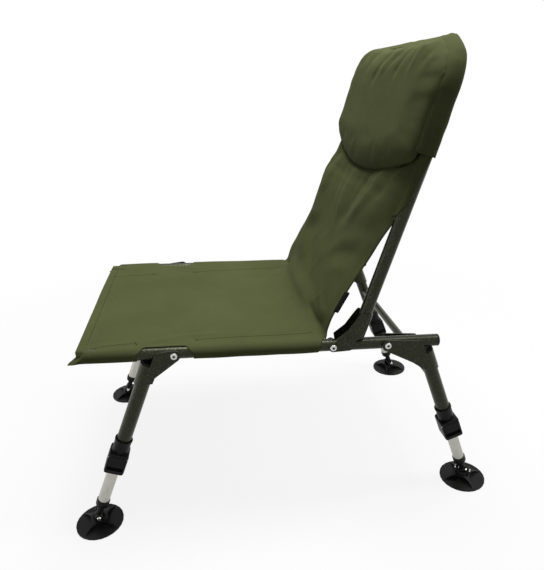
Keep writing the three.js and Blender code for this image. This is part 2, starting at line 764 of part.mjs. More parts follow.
// The section of a sleeve that wraps a rail and runs up to its stitching, with the rail at 0
function teardrop(radius, tipX, tipZ) {
  const touch = touchPoint([tipX, tipZ], [0, 0], radius, -1);
  const section = new THREE.Shape();
  section.moveTo(tipX, tipZ);
  section.lineTo(touch[0], touch[1]);
  section.absarc(0, 0, radius, angleFrom([0, 0], touch), Math.PI / 2, false);
  return section;
}

// Seat cloth: a sheet over the rails whose two edges wrap round them and are stitched back to it,
// with a thicker hem in front. Openings at the front let the leg brackets past.
function seatSolid() {
  const inner = rail.radius + seatGap;
  const outer = inner + cloth.thickness;
  const sleeveSteps = seat.sleeveSides / 2;
  const sheetStrip = strip(seatSection(halfWidth, inner, outer), -seatFront, seat.rear, sleeveSteps);
  const tongueStrip = strip(seatSection(halfWidth - seat.tongueInset, inner, outer),
    seat.rear - cutOverrun, seat.rear + seat.tongue, sleeveSteps);
  const hemStrip = strip(seatSection(halfWidth, outer - seat.hemThickness, outer), -seatFront,
    seat.hemDepth - seatFront, sleeveSteps);
  const stitch = -seat.stitchInset;
  const skin = strip(teardrop(outer, stitch, inner), -seatFront, seat.rear, sleeveSteps);
  const hollowTip = [stitch + cloth.thickness * 2, inner - cloth.thickness / 2];
  const hollow = strip(teardrop(inner, hollowTip[0], hollowTip[1]), -seatFront - cutOverrun,
    seat.rear + cutOverrun, sleeveSteps);
  const opening = block(stitch - cloth.thickness, outer + cutOverrun, -legPivotReach - seat.cutAhead,
    seat.cutBehind - legPivotReach, -outer - cutOverrun, seat.cutHead);
  let sewn = sheetStrip.add(hemStrip).add(tongueStrip);
  for (const side of [1, -1]) {
    const facing = (solid) => (side > 0 ? solid : solid.mirror([1, 0, 0]));
    const place = (solid) => facing(solid).translate([side * halfWidth, 0, 0]);
    sewn = sewn.add(place(skin)).subtract(place(hollow)).subtract(place(opening));
  }
  return sewn;
}

// Half the width of the back frame's centre line at a height along it
function backHalfAt(w) {
  const bendFoot = backFrame.top - backFrame.bendRadius;
  if (w <= bendFoot) {
    return halfWidth;
  }
  const rise = Math.min(w - bendFoot, backFrame.bendRadius);
  return halfWidth - backFrame.bendRadius + Math.sqrt(backFrame.bendRadius ** 2 - rise ** 2);
}

// Heights of the sheet's rows: up to the pillow's foot, up to the bend, then round the bend
function backRowHeights() {
  const { openRows, coveredRows, bendRows, foot } = backCloth;
  const bendFoot = backFrame.top - backFrame.bendRadius;
  const heights = [];
  for (let row = 0; row < openRows; row += 1) {
    heights.push(foot + ((pillow.foot - foot) * row) / openRows);
  }
  for (let row = 0; row < coveredRows; row += 1) {
    heights.push(pillow.foot + ((bendFoot - pillow.foot) * row) / coveredRows);
  }
  for (let row = 0; row <= bendRows; row += 1) {
    heights.push(bendFoot + backFrame.bendRadius * Math.sin((row / bendRows) * (Math.PI / 2)));
  }
  return heights;
}

// How far the back's cloth stands out in front of its flat plane at a place across it
function bulgeAt(w, u) {
  const fade = THREE.MathUtils.clamp((pillow.foot - w) / (pillow.foot - backCloth.foot), 0, 1);
  const across = (1 - u * u) ** 2;
  const fold = backCloth.foldDepth * Math.cos(u * Math.PI * backCloth.folds) * across;
  return (backCloth.bulge * (1 - u ** 4) + fold) * fade;
}

// Back cloth: a sleeve on the U tube and a sheet across its front
function backClothSolid() {
  const inner = backFrame.radius + seatGap;
  const outer = inner + cloth.thickness;
  const sleeve = tubeAlong(backPath(backCloth.foot), outer, inner, seat.sleeveSides);
  const heights = backRowHeights();
  const rows = heights.length - 1;
  const geometry = sheet(backCloth.columns, rows, (across, up) => {
    const w = heights[Math.round(up * rows)];
    const u = across * 2 - 1;
    return new THREE.Vector3(u * backHalfAt(w), -outer - bulgeAt(w, u), w);
  }, () => new THREE.Vector3(0, cloth.thickness, 0));
  return sleeve.add(solidOf(geometry)).translate([0, backFrame.setBack, 0]);
}

// Lumbar cloth: the free lower part of the back's cloth, which leaves the tube and comes forward to
// the rear end of the seat. The table holds its side edge, from the seat up to the back cloth: how
// far it stands in front of the tube, as shares of that distance at the seat, and how high it is,
// as shares of the way up.
const lumbarEdgeShares = [
  { ahead: 1, rise: 0 },
  { ahead: 1.02, rise: 0.08 },
  { ahead: 1.02, rise: 0.17 },
  { ahead: 0.87, rise: 0.28 },
  { ahead: 0.82, rise: 0.39 },
  { ahead: 0.77, rise: 0.49 },
  { ahead: 0.63, rise: 0.6 },
  { ahead: 0.57, rise: 0.7 },
  { ahead: 0.46, rise: 0.8 },
  { ahead: 0.34, rise: 0.91 },
  { ahead: 0.23, rise: 1 },
];

// A place given in the rails' frame, turned into the back's frame
function inBackFrame(along, above) {
  const angle = backTilt - railSlope;
  const rearward = along - backPivotReach;
  return {
    v: rearward * Math.cos(angle) - above * Math.sin(angle),
    w: rearward * Math.sin(angle) + above * Math.cos(angle),
  };
}

function lumbarSolid() {
  const top = backCloth.foot - seatGap;
  const tubeFront = backFrame.radius + seatGap + cloth.thickness;
  const seatTop = rail.radius + seatGap + cloth.thickness;
  const foot = inBackFrame(seat.rear + seat.tongue - cloth.thickness * 2, seatTop + seatGap * 3);
  const footAhead = backFrame.setBack - foot.v;
  const half = halfWidth - lumbar.inset;
  const stitch = halfWidth - seat.stitchInset;
  const rows = lumbarEdgeShares.length - 1;
  const geometry = sheet(lumbar.columns, rows, (across, up) => {
    const u = across * 2 - 1;
    const place = lumbarEdgeShares[Math.round(up * rows)];
    const sag = seat.sag * Math.max(1 - ((u * half) / stitch) ** 2, 0) * (1 - up);
    const w = foot.w + (top - foot.w) * place.rise - sag;
    const swell = Math.min(up / lumbar.bulgeStart, 1);
    const ripple = Math.cos(u * Math.PI * lumbar.folds) * Math.sin(up * Math.PI);
    const fold = lumbar.foldDepth * ripple * (1 - u * u);
    const bulge = backCloth.bulge * (1 - u ** 4) * swell;
    const ahead = Math.max(footAhead * place.ahead, tubeFront);
    return new THREE.Vector3(u * half, -ahead - bulge - fold, w);
  }, () => new THREE.Vector3(0, cloth.thickness, 0));
  return solidOf(geometry).translate([0, backFrame.setBack, 0]);
}

// Pillow: a cushion over the head of the back, with a crown, drawn-in sides and gathers along its
// top seam. Its foot hangs in a shallow curve.
function pillowSolid() {
  const sleeveFront = backFrame.radius + seatGap + cloth.thickness;
  const back = sleeveFront + seatGap;
  const cornerRadius = backFrame.bendRadius + pillow.above;
  const topAt = (x) => {
    const over = Math.abs(x) - (halfWidth - backFrame.bendRadius);
    const bendFoot = backFrame.top - backFrame.bendRadius;
    return bendFoot + (over > 0 ? Math.sqrt(Math.max(cornerRadius ** 2 - over ** 2, 0)) : cornerRadius);
  };
  const spread = (share) => Math.sin((share - 1 / 2) * Math.PI);
  const half = halfWidth + backFrame.radius + pillow.overhang;
  const thickAt = (u, t) => {
    const side = Math.sqrt(Math.max(1 - u ** 8, 0));
    const end = Math.sqrt(Math.max(1 - t ** 8, 0));
    const crown = pillow.crown * (1 - u * u) * (1 - t * t);
    const ripple = Math.cos(u * Math.PI * pillow.gathers) * Math.max(t, 0) ** 2;
    const pull = pillow.gather * ripple * (1 - u * u);
    return side * end * (pillow.depth + crown - pull);
  };
  const geometry = sheet(pillow.columns, pillow.rows, (across, up) => {
    const u = spread(across);
    const t = spread(up);
    const x = u * half;
    const foot = pillow.foot + pillow.cornerRise * u * u;
    const w = foot + (topAt(x) - foot) * (t + 1) / 2;
    return new THREE.Vector3(x, -back - thickAt(u, t), w);
  }, (across, up) => new THREE.Vector3(0, thickAt(spread(across), spread(up)), 0));
  return solidOf(geometry).translate([0, backFrame.setBack, 0]);
}

// Assembly
const chair = new THREE.Group();
const sides = { left: 1, right: -1 };

const rails = new THREE.Group();
rails.position.set(0, 0, railHeight);
rails.rotation.x = -railSlope;
chair.add(rails);

const legFlangeInner = outerLeg.radius + seatGap;
const legFlangeFace = legFlangeInner + legBracket.wall;
const backFlangeInner = backFrame.radius + seatGap;
const backFlangeFace = backFlangeInner + backBracket.wall;

for (const [sideName, side] of Object.entries(sides)) {
  const line = new THREE.Group();
  line.position.x = side * halfWidth;
  rails.add(line);
  line.add(piece(`rail_${sideName}`, railSolid(), paintedSteel));
  line.add(piece(`rail_cap_${sideName}`, railCapSolid(), blackPlastic));
  for (const [kindName, kind] of Object.entries(legKinds)) {
    const legRivet = piece(`leg_rivet_${kindName}_${sideName}`,
      rivetSolid(legFlangeFace, legFlangeInner, true), brightSteel);
    legRivet.position.y = kind.side * legPivotReach;
    line.add(legRivet);
  }
  const backRivet = piece(`back_rivet_${sideName}`,
    rivetSolid(backFlangeFace, backFlangeInner, false), brightSteel);
  backRivet.position.y = backPivotReach;
  line.add(backRivet);
}

rails.add(piece('seat_cloth', seatSolid(), oliveCloth));

for (const [kindName, kind] of Object.entries(legKinds)) {
  const { tilt } = legPlaces(kind);
  for (const [sideName, side] of Object.entries(sides)) {
    const tag = `${kindName}_${sideName}`;
    const leg = new THREE.Group();
    leg.position.set(side * halfWidth, kind.side * footReach, footPinHeight);
    // The leg's own y axis runs inward. The rear leg's frame is turned half round.
    leg.rotation.order = 'ZXY';
    leg.rotation.z = kind.side > 0 ? Math.PI : 0;
    leg.rotation.x = -tilt;
    chair.add(leg);
    leg.add(piece(`leg_bracket_${tag}`, legBracketSolid(kind), paintedSteel));
    leg.add(piece(`outer_leg_${tag}`, outerLegSolid(kind), paintedSteel));
    leg.add(piece(`leg_plug_${tag}`, legPlugSolid(kind), blackPlastic));
    leg.add(piece(`inner_leg_${tag}`, innerLegSolid(kind), satinAluminium));

    // The lever faces the chair's left side on every leg
    const clampGroup = new THREE.Group();
    clampGroup.rotation.z = kind.side > 0 ? Math.PI : 0;
    leg.add(clampGroup);
    clampGroup.add(piece(`clamp_body_${tag}`, clampSolid(kind), blackPlastic));
    const leverPiece = piece(`clamp_lever_${tag}`, leverSolid(), blackPlastic);
    leverPiece.position.set(leverAxisX(), 0, kind.clampRim - lever.axisDrop);
    clampGroup.add(leverPiece);
    const leverPin = piece(`clamp_pin_${tag}`, leverPinSolid(), brightSteel);
    leverPin.position.copy(leverPiece.position);
    clampGroup.add(leverPin);

    // The joint is turned about the leg as far as its pin is turned about the upright
    const turn = footTurn[tag];
    const legTurn = Math.atan2(Math.sin(turn) * Math.cos(tilt), Math.cos(turn));
    const joint = piece(`foot_joint_${tag}`, footJointSolid(), blackPlastic);
    joint.rotation.z = legTurn;
    leg.add(joint);

    const foot = new THREE.Group();
    foot.position.copy(leg.position);
    foot.rotation.z = turn;
    chair.add(foot);
    foot.add(piece(`foot_disc_${tag}`, footDiscSolid(), blackPlastic));
    foot.add(piece(`foot_pin_${tag}`, footPinSolid(), brightSteel));
  }
  const barGroup = new THREE.Group();
  barGroup.position.set(0, kind.side * footReach, footPinHeight);
  barGroup.rotation.order = 'ZXY';
  barGroup.rotation.z = kind.side > 0 ? Math.PI : 0;
  barGroup.rotation.x = -tilt;
  chair.add(barGroup);
  const bar = piece(`cross_bar_${kindName}`, crossBarSolid(), paintedSteel);
  bar.position.z = crossBar.above;
  barGroup.add(bar);
}

const back = new THREE.Group();
back.position.set(0, backPivotReach * Math.cos(railSlope), railHeight);
back.position.z -= backPivotReach * Math.sin(railSlope);
back.rotation.x = -backTilt;
chair.add(back);
back.add(piece('back_frame', backFrameSolid(), paintedSteel));
back.add(piece('back_cloth', backClothSolid(), oliveCloth));
back.add(piece('lumbar_cloth', lumbarSolid(), oliveCloth));
back.add(piece('head_pillow', pillowSolid(), oliveCloth));
for (const [sideName, side] of Object.entries(sides)) {
  const bracket = piece(`back_bracket_${sideName}`, backBracketSolid(), paintedSteel);
  bracket.position.x = side * halfWidth;
  back.add(bracket);
}

chair.updateMatrixWorld(true);

export default chair;
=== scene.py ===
"""Looks of the folding bank chair: cloth, pillow, materials, floor, lights and camera.

Lengths are in millimetres until they reach a mesh, where MM turns them into metres. The seat is laid
out along and above the rails, and the back ahead of its tubes and up along them.
"""

import json
from math import atan2, cos, exp, hypot, inf, pi, radians, sin

import bpy
from mathutils import Matrix, Vector, noise


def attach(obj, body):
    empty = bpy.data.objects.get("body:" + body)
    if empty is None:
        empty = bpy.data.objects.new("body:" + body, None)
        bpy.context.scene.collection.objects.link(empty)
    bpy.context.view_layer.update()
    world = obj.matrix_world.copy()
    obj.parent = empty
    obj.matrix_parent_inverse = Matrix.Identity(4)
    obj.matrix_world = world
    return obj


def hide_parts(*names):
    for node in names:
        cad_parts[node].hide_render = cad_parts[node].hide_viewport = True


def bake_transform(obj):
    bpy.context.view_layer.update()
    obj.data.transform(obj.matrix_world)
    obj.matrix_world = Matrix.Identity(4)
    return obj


MM = 0.001
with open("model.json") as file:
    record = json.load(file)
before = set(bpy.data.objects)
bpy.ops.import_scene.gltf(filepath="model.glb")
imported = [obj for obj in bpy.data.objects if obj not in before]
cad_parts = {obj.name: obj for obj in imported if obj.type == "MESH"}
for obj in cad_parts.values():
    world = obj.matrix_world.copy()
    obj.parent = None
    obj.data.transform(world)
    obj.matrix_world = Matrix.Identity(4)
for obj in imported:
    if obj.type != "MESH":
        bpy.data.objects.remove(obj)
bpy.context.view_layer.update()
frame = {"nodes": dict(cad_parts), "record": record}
nodes = frame["nodes"]


def set_all(item, values):
    for key, value in values.items():
        setattr(item, key, value)
    return item


def new_object(name, data):
    made = bpy.data.objects.new(name, data)
    bpy.context.scene.collection.objects.link(made)
    return made


# Camera
CAMERA_PLACE = (1.0279, -0.1059, 0.7732)
CAMERA_TURN, CAMERA_RISE, CAMERA_ROLL = (radians(v) for v in (83.5, 21.3, -2.3))
LENS_LENGTH, SENSOR_WIDTH = 32.84, 36


def add_camera():
    back = Vector((
        sin(CAMERA_TURN) * cos(CAMERA_RISE),
        -cos(CAMERA_TURN) * cos(CAMERA_RISE),
        sin(CAMERA_RISE),
    ))
    level = Vector((cos(CAMERA_TURN), sin(CAMERA_TURN), 0))
    upright = back.cross(level)
    right = level * cos(CAMERA_ROLL) + upright * sin(CAMERA_ROLL)
    up = upright * cos(CAMERA_ROLL) - level * sin(CAMERA_ROLL)
    data = bpy.data.cameras.new("camera")
    camera = new_object("camera", set_all(data, {"lens": LENS_LENGTH, "sensor_width": SENSOR_WIDTH}))
    turned = Matrix((right, up, back)).transposed().to_4x4()
    camera.matrix_world = Matrix.Translation(CAMERA_PLACE) @ turned
    bpy.context.scene.camera = camera


add_camera()


# Places in the chair's own frames: the rails slope down to the rear by SLOPE, and the back leans by
# TILT from its PIVOT, (y, z). The tubes' middles are HALF from the middle of the chair, the back's
# tubes stand SET_BACK behind the pivot, and SLEEVE is the radius of the cloth round a tube.
RAIL_HEIGHT, SLOPE, TILT = 339.35, radians(2.92), radians(18.98)
PIVOT = (88.285, 334.847)
HALF = 224
SET_BACK = 38.2
SLEEVE = 12.7


def on_rails(along, above):
    """(y, z) of a place along the rails and above their axis."""
    return (
        along * cos(SLOPE) + above * sin(SLOPE),
        RAIL_HEIGHT - along * sin(SLOPE) + above * cos(SLOPE),
    )


def on_back(ahead, height):
    """(y, z) of a place ahead of the back's tubes at a height along them."""
    v = SET_BACK - ahead
    return (
        PIVOT[0] + v * cos(TILT) + height * sin(TILT),
        PIVOT[1] - v * sin(TILT) + height * cos(TILT),
    )


# Numbers and lines
SPLINE_STEPS = 16


def smooth(share):
    share = min(max(share, 0), 1)
    return share * share * (3 - 2 * share)


def rising(value, start, run):
    """0 up to the start, 1 a run further on, and smooth between them."""
    return smooth((value - start) / run)


def falling(value, start, run):
    """0 down to the start, 1 a run lower, and smooth between them."""
    return smooth((start - value) / run)


def bell(gap, width):
    return exp(-((gap / width) ** 2))


def uneven(x, y, z):
    """Smooth noise from -1 to 1, the same each run."""
    return noise.noise(Vector((x, y, z)))


def spaced(start, end, count):
    """Evenly spaced values from after the start up to the end."""
    return [start + (end - start) * k / count for k in range(1, count + 1)]


def between(value, pairs):
    """Smooth interpolation in a short list of (place, value) pairs."""
    if value <= pairs[0][0]:
        return pairs[0][1]
    for (a, low), (b, high) in zip(pairs, pairs[1:]):
        if value <= b:
            return low + (high - low) * smooth((value - a) / (b - a))
    return pairs[-1][1]


def run_lengths(line):
    """The length of a line of points up to each of them."""
    lengths = [0.0]
    for a, b in zip(line, line[1:]):
        lengths.append(lengths[-1] + (b - a).length)
    return lengths


def point_at(line, lengths, at, want):
    """The point at a wanted length of a line, on its span number at."""
    share = (want - lengths[at]) / (lengths[at + 1] - lengths[at])
    return line[at].lerp(line[at + 1], min(max(share, 0), 1))


def spline(points, count):
    """A smooth line through points, as evenly spaced points."""
    points = [Vector(p) for p in points]
    ends = [points[0] * 2 - points[1], *points, points[-1] * 2 - points[-2]]
    fine = []
    for a, b, c, d in zip(ends, ends[1:], ends[2:], ends[3:]):
        for step in range(SPLINE_STEPS):
            t = step / SPLINE_STEPS
            fine.append(0.5 * (
                2 * b + (c - a) * t + (2 * a - 5 * b + 4 * c - d) * t ** 2
                + (3 * b - a - 3 * c + d) * t ** 3
            ))
    fine.append(points[-1])
    lengths = run_lengths(fine)
    line, at = [], 0
    for step in range(count):
        want = lengths[-1] * step / (count - 1)
        while at < len(fine) - 2 and lengths[at + 1] < want:
            at += 1
        line.append(point_at(fine, lengths, at, want))
    return line


# Materials
WHITE = (1, 1, 1, 1)
OLIVE_LIGHT, OLIVE_DARK = (0.096, 0.107, 0.0445), (0.082, 0.092, 0.0375)


def grey(value):
    return (value,) * 3


def material(name):
    """A new material with its tree, its shader and the object's own coordinates."""
    made = bpy.data.materials.new(name)
    made.use_nodes = True
    tree = made.node_tree
    place = tree.nodes.new("ShaderNodeTexCoord").outputs["Object"]
    return made, tree, tree.nodes["Principled BSDF"], place


def set_inputs(node, values):
    """Sets a node's inputs, or links them where the value is another node's output."""
    for key, value in values.items():
        if isinstance(value, bpy.types.NodeSocket):
            node.id_data.links.new(value, node.inputs[key])
        else:
            node.inputs[key].default_value = value


def add(tree, kind, settings=(), inputs=()):
    made = set_all(tree.nodes.new(kind), dict(settings))
    set_inputs(made, dict(inputs))
    return made


def ramp(source, stops):
    """Colours, or numbers for greys, at places from 0 to 1 of the source's value."""
    made = add(source.id_data, "ShaderNodeValToRGB", inputs={"Fac": source})
    elements = made.color_ramp.elements
    while len(elements) < len(stops):
        elements.new(0.5)
    for element, (place, colour) in zip(elements, stops):
        element.position = place
        element.color = (*(colour if isinstance(colour, tuple) else grey(colour)), 1)
    return made.outputs["Color"]


def mix(tree, factor, a, b, blend="MIX"):
    a, b = ((*value, 1) if isinstance(value, tuple) else value for value in (a, b))
    settings = {"data_type": "RGBA", "blend_type": blend}
    return add(tree, "ShaderNodeMix", settings, {0: factor, 6: a, 7: b}).outputs[2]


def shaded(colour, share, source, stops):
    """Multiplies a colour by a ramp, as far as the share says."""
    return mix(source.id_data, share, colour, ramp(source, stops), "MULTIPLY")


def bump(height, strength, distance, **normal):
    inputs = {"Height": height, "Strength": strength, "Distance": distance, **normal}
    return add(height.id_data, "ShaderNodeBump", inputs=inputs).outputs["Normal"]


def worn_edges(tree, radius):
    """A rounded normal, and a mask that is 1 along sharp edges."""
    rounded = add(tree, "ShaderNodeBevel", {"samples": 4}, {"Radius": radius}).outputs["Normal"]
    plain = tree.nodes.new("ShaderNodeNewGeometry").outputs["Normal"]
    dot = add(tree, "ShaderNodeVectorMath", {"operation": "DOT_PRODUCT"}, {0: rounded, 1: plain})
    return rounded, ramp(dot.outputs["Value"], [(0.8, 1), (0.985, 0)])


def texture(kind, scale, source, settings=(), **inputs):
    return add(source.id_data, kind, settings, {"Scale": scale, "Vector": source, **inputs}).outputs


def noise_value(scale, source, **inputs):
    return texture("ShaderNodeTexNoise", scale, source, **inputs)["Fac"]


def laid_out(place, **inputs):
    """Coordinates that are turned or scaled."""
    inputs = {"Vector": place, **inputs}
    return add(place.id_data, "ShaderNodeMapping", inputs=inputs).outputs["Vector"]


def make_paint():
    made, tree, shader, place = material("hammered_paint")
    cells = texture("ShaderNodeTexVoronoi", 330, place, {"feature": "SMOOTH_F1"}, Smoothness=0.6)["Distance"]
    specks = noise_value(520, place, Detail=3.0, Roughness=0.6)
    cloud = noise_value(45, place, Detail=2.0)
    colour = ramp(specks, [
        (0.38, (0.006, 0.0065, 0.0030)), (0.54, (0.017, 0.018, 0.009)), (0.70, (0.12, 0.122, 0.085)),
    ])
    colour = shaded(colour, 0.8, cells, [(0.1, 0.75), (0.55, 1.25)])
    colour = shaded(colour, 0.35, cloud, [(0.3, 0.6), (0.7, 1.2)])
    normal, edge = worn_edges(tree, radius=0.0006)
    set_inputs(shader, {
        "Base Color": mix(tree, edge, colour, (0.07, 0.072, 0.06)),
        "Roughness": ramp(specks, [(0.35, 0.36), (0.65, 0.24)]),
        "Normal": bump(cells, strength=0.3, distance=0.0006, Normal=normal),
        "Metallic": 0.1, "Specular IOR Level": 0.29, "Specular Tint": (0.95, 1.0, 0.72, 1),
    })
    return made


def make_plastic():
    made, tree, shader, place = material("black_plastic")
    grain = noise_value(1500, place, Detail=2.0)
    cloud = noise_value(60, place, Detail=4.0)
    normal, edge = worn_edges(tree, radius=0.0007)
    colour = ramp(cloud, [(0.3, 0.005), (0.7, (0.010, 0.010, 0.0095))])
    set_inputs(shader, {
        "Base Color": mix(tree, edge, colour, grey(0.05)),
        "Roughness": ramp(cloud, [(0.3, 0.34), (0.75, 0.5)]),
        "Normal": bump(grain, strength=0.12, distance=0.0002, Normal=normal),
        "Specular IOR Level": 0.13,
    })
    return made


def make_steel():
    made, tree, shader, place = material("bright_steel")
    cloud = noise_value(400, place, Detail=4.0)
    normal, edge = worn_edges(tree, radius=0.0005)
    colour = ramp(cloud, [(0.3, (0.42, 0.42, 0.40)), (0.7, (0.68, 0.68, 0.66))])
    set_inputs(shader, {
        "Base Color": mix(tree, edge, colour, (0.75, 0.75, 0.73)),
        "Roughness": ramp(cloud, [(0.3, 0.3), (0.7, 0.2)]),
        "Normal": bump(cloud, strength=0.15, distance=0.0002, Normal=normal),
        "Metallic": 1,
    })
    return made


def make_aluminium():
    made, tree, shader, place = material("satin_aluminium")
    lines = noise_value(1.0, laid_out(place, Scale=(900, 900, 22)), Detail=3.0)
    cloud = noise_value(70, place, Detail=4.0)
    streaks = ramp(lines, [(0.3, (0.40, 0.395, 0.35)), (0.7, (0.56, 0.555, 0.50))])
    patches = ramp(cloud, [(0.3, (0.42, 0.415, 0.37)), (0.7, (0.54, 0.535, 0.48))])
    set_inputs(shader, {
        "Base Color": mix(tree, 0.5, streaks, patches),
        "Roughness": ramp(lines, [(0.3, 0.45), (0.7, 0.33)]),
        "Normal": bump(lines, strength=0.08, distance=0.0001),
        "Metallic": 0.9,
    })
    return made


def make_cloth(name, turn):
    """Plain woven polyester. turn lays the yarns along the piece."""
    made, tree, shader, place = material(name)
    laid = laid_out(place, Rotation=(turn, 0, 0))
    yarns = [
        texture("ShaderNodeTexWave", 260, laid, {"wave_type": "BANDS", "bands_direction": way},
                Distortion=0.6, Detail=1.0)["Fac"]
        for way in ("X", "Y")
    ]
    crossed = add(tree, "ShaderNodeMath", {"operation": "MULTIPLY"}, {0: yarns[0], 1: yarns[1]})
    weave = crossed.outputs["Value"]
    cloud = noise_value(9, place, Detail=5.0, Roughness=0.6)
    fuzz = noise_value(700, place, Detail=2.0)
    colour = ramp(cloud, [(0.32, OLIVE_DARK), (0.68, OLIVE_LIGHT)])
    colour = shaded(colour, 0.16, weave, [(0.0, 0.55), (0.6, 1.2)])
    colour = shaded(colour, 0.15, fuzz, [(0.35, 0.7), (0.65, 1.2)])
    soft = bump(noise_value(30, place, Detail=3.0), strength=0.12, distance=0.004)
    set_inputs(shader, {
        "Base Color": colour,
        "Roughness": ramp(fuzz, [(0.3, 0.88), (0.7, 0.72)]),
        "Normal": bump(weave, strength=0.2, distance=0.0003, Normal=soft),
        "Specular IOR Level": 0.035, "Sheen Weight": 0.015, "Sheen Roughness": 0.4,
        "Sheen Tint": (0.7, 0.8, 0.45, 1),
    })
    return made


def make_plain(name, colour, roughness, grain):
    """A small-scale matte material, for thread and webbing."""
    made, _, shader, place = material(name)
    wave = texture("ShaderNodeTexWave", grain, place, {"bands_direction": "DIAGONAL"}, Distortion=1.0)["Fac"]
    set_inputs(shader, {
        "Base Color": ramp(wave, [(0.2, tuple(v * 0.6 for v in colour)), (0.8, colour)]),
        "Normal": bump(wave, strength=0.3, distance=0.0003),
        "Roughness": roughness, "Specular IOR Level": 0.1,
    })
    return made


seat_weave = make_cloth("olive_cloth", -SLOPE)
back_weave = make_cloth("olive_cloth_back", TILT - pi / 2)
thread = make_plain("olive_thread", (0.045, 0.055, 0.02), 0.7, 900)
webbing = make_plain("black_webbing", grey(0.012), 0.75, 500)

FINISHES = {
    "hammered_paint": make_paint(), "black_plastic": make_plastic(), "bright_steel": make_steel(),
    "satin_aluminium": make_aluminium(), "olive_cloth": seat_weave,
}


# Smooth round faces on the metal and plastic
WELD_GAP = 0.00001
SHARP_ANGLE = radians(38)


def smoothing():
    """A modifier tree that joins the facets' corners and shades round faces smooth."""
    tree = bpy.data.node_groups.new("smooth_faces", "GeometryNodeTree")
    for way in ("INPUT", "OUTPUT"):
        tree.interface.new_socket("Geometry", in_out=way, socket_type="NodeSocketGeometry")
    whole = tree.nodes.new("NodeGroupInput").outputs[0]
    angle = tree.nodes.new("GeometryNodeInputMeshEdgeAngle").outputs["Unsigned Angle"]
    settings = {"data_type": "FLOAT", "operation": "GREATER_THAN"}
    sharp = add(tree, "FunctionNodeCompare", settings, {0: angle, 1: SHARP_ANGLE})
    weld = add(tree, "GeometryNodeMergeByDistance", inputs={"Geometry": whole, "Distance": WELD_GAP})
    inputs = {"Geometry": weld.outputs[0], "Shade Smooth": True}
    faces = add(tree, "GeometryNodeSetShadeSmooth", inputs=inputs)
    edges = add(tree, "GeometryNodeSetShadeSmooth", {"domain": "EDGE"}, {
        "Geometry": faces.outputs[0], "Selection": sharp.outputs[0], "Shade Smooth": False,
    })
    add(tree, "NodeGroupOutput", inputs={0: edges.outputs[0]})
    return tree


def dress_cad_nodes():
    slots = {s["node"]: s["material_slot"] for s in frame["record"]["subparts"]}
    tree = smoothing()
    for name, item in nodes.items():
        item.data.materials.clear()
        item.data.materials.append(FINISHES[slots[name]])
        custom = item.data.attributes.get("custom_normal")
        if custom is not None:
            item.data.attributes.remove(custom)
        item.modifiers.new("smooth_faces", "NODES").node_group = tree


dress_cad_nodes()


# Mesh helpers
THREAD_SIDES, THREAD_FLATNESS, THREAD_DIP, STITCH_LIFT = 6, 0.8, 0.9, 0.25
THREAD_RINGS = ((-0.5, 0.35), (-0.3, 0.9), (0, 1), (0.3, 0.9), (0.5, 0.35))


def mesh_object(name, points, faces, finish):
    mesh = bpy.data.meshes.new(name)
    mesh.from_pydata([Vector(p) * MM for p in points], [], faces)
    mesh.materials.append(finish)
    mesh.shade_smooth()
    return new_object(name, mesh)


def ring_faces(rows, count):
    """The faces of a closed body made of rings, each with count points, and its two ends."""
    faces = []
    for row in range(rows - 1):
        for k in range(count):
            a, b = row * count + k, row * count + (k + 1) % count
            faces.append((a, b, b + count, a + count))
    faces.append(tuple(reversed(range(count))))
    faces.append(tuple(range((rows - 1) * count, rows * count)))
    return faces


def sweep(line, section):
    """Points and faces of a section, (side, up) pairs, carried along a line of (point, side, up)."""
    points = [point + side * a + up * b for point, side, up in line for a, b in section]
    return points, ring_faces(len(line), len(section))


def thread_section(radius):
    turns = [2 * pi * k / THREAD_SIDES for k in range(THREAD_SIDES)]
    return [(radius * cos(t), radius * THREAD_FLATNESS * sin(t)) for t in turns]


def stitch(points, faces, line, normals, pitch=5.0, length=3.4, radius=0.5):
    """Adds a row of stitches along a line to points and faces. Each stitch is a closed body."""
    lengths = run_lengths(line)
    at = 0
    for step in range(int(lengths[-1] / pitch)):
        want = (step + 0.5) * pitch
        while lengths[at + 1] < want:
            at += 1
        middle = point_at(line, lengths, at, want) + normals[at] * STITCH_LIFT
        ahead = (line[at + 1] - line[at]).normalized()
        side = ahead.cross(normals[at]).normalized()
        rings = []
        for place, size in THREAD_RINGS:
            point = middle + ahead * length * place - normals[at] * abs(place) * THREAD_DIP
            rings.append((point, side * size, normals[at] * size))
        more, walls = sweep(rings, thread_section(radius))
        faces += [tuple(i + len(points) for i in face) for face in walls]
        points += more


# Folds: lines in the cloth's own coordinates (across, along), each with its height and half width.
# A fold reaches FOLD_REACH half widths to either side, and fades over the shares FADE_IN and FADE_OUT
# of its length to FADE_LEAST of its height.
FOLD_REACH = 3
FADE_IN, FADE_OUT, FADE_LEAST = 0.25, 0.3, 0.15


def fold_height(folds, across, along):
    height = 0
    for line, rise, width in folds:
        best, share = inf, 0
        spans = len(line) - 1
        for i, ((ax, ay), (bx, by)) in enumerate(zip(line, line[1:])):
            dx, dy = bx - ax, by - ay
            t = ((across - ax) * dx + (along - ay) * dy) / (dx * dx + dy * dy)
            t = min(max(t, 0), 1)
            gap = hypot(across - ax - dx * t, along - ay - dy * t)
            if gap < best:
                best, share = gap, (i + t) / spans
        if best < width * FOLD_REACH:
            fade = smooth(share / FADE_IN) * smooth((1 - share) / FADE_OUT)
            height += rise * bell(best, width) * (fade * (1 - FADE_LEAST) + FADE_LEAST)
    return height


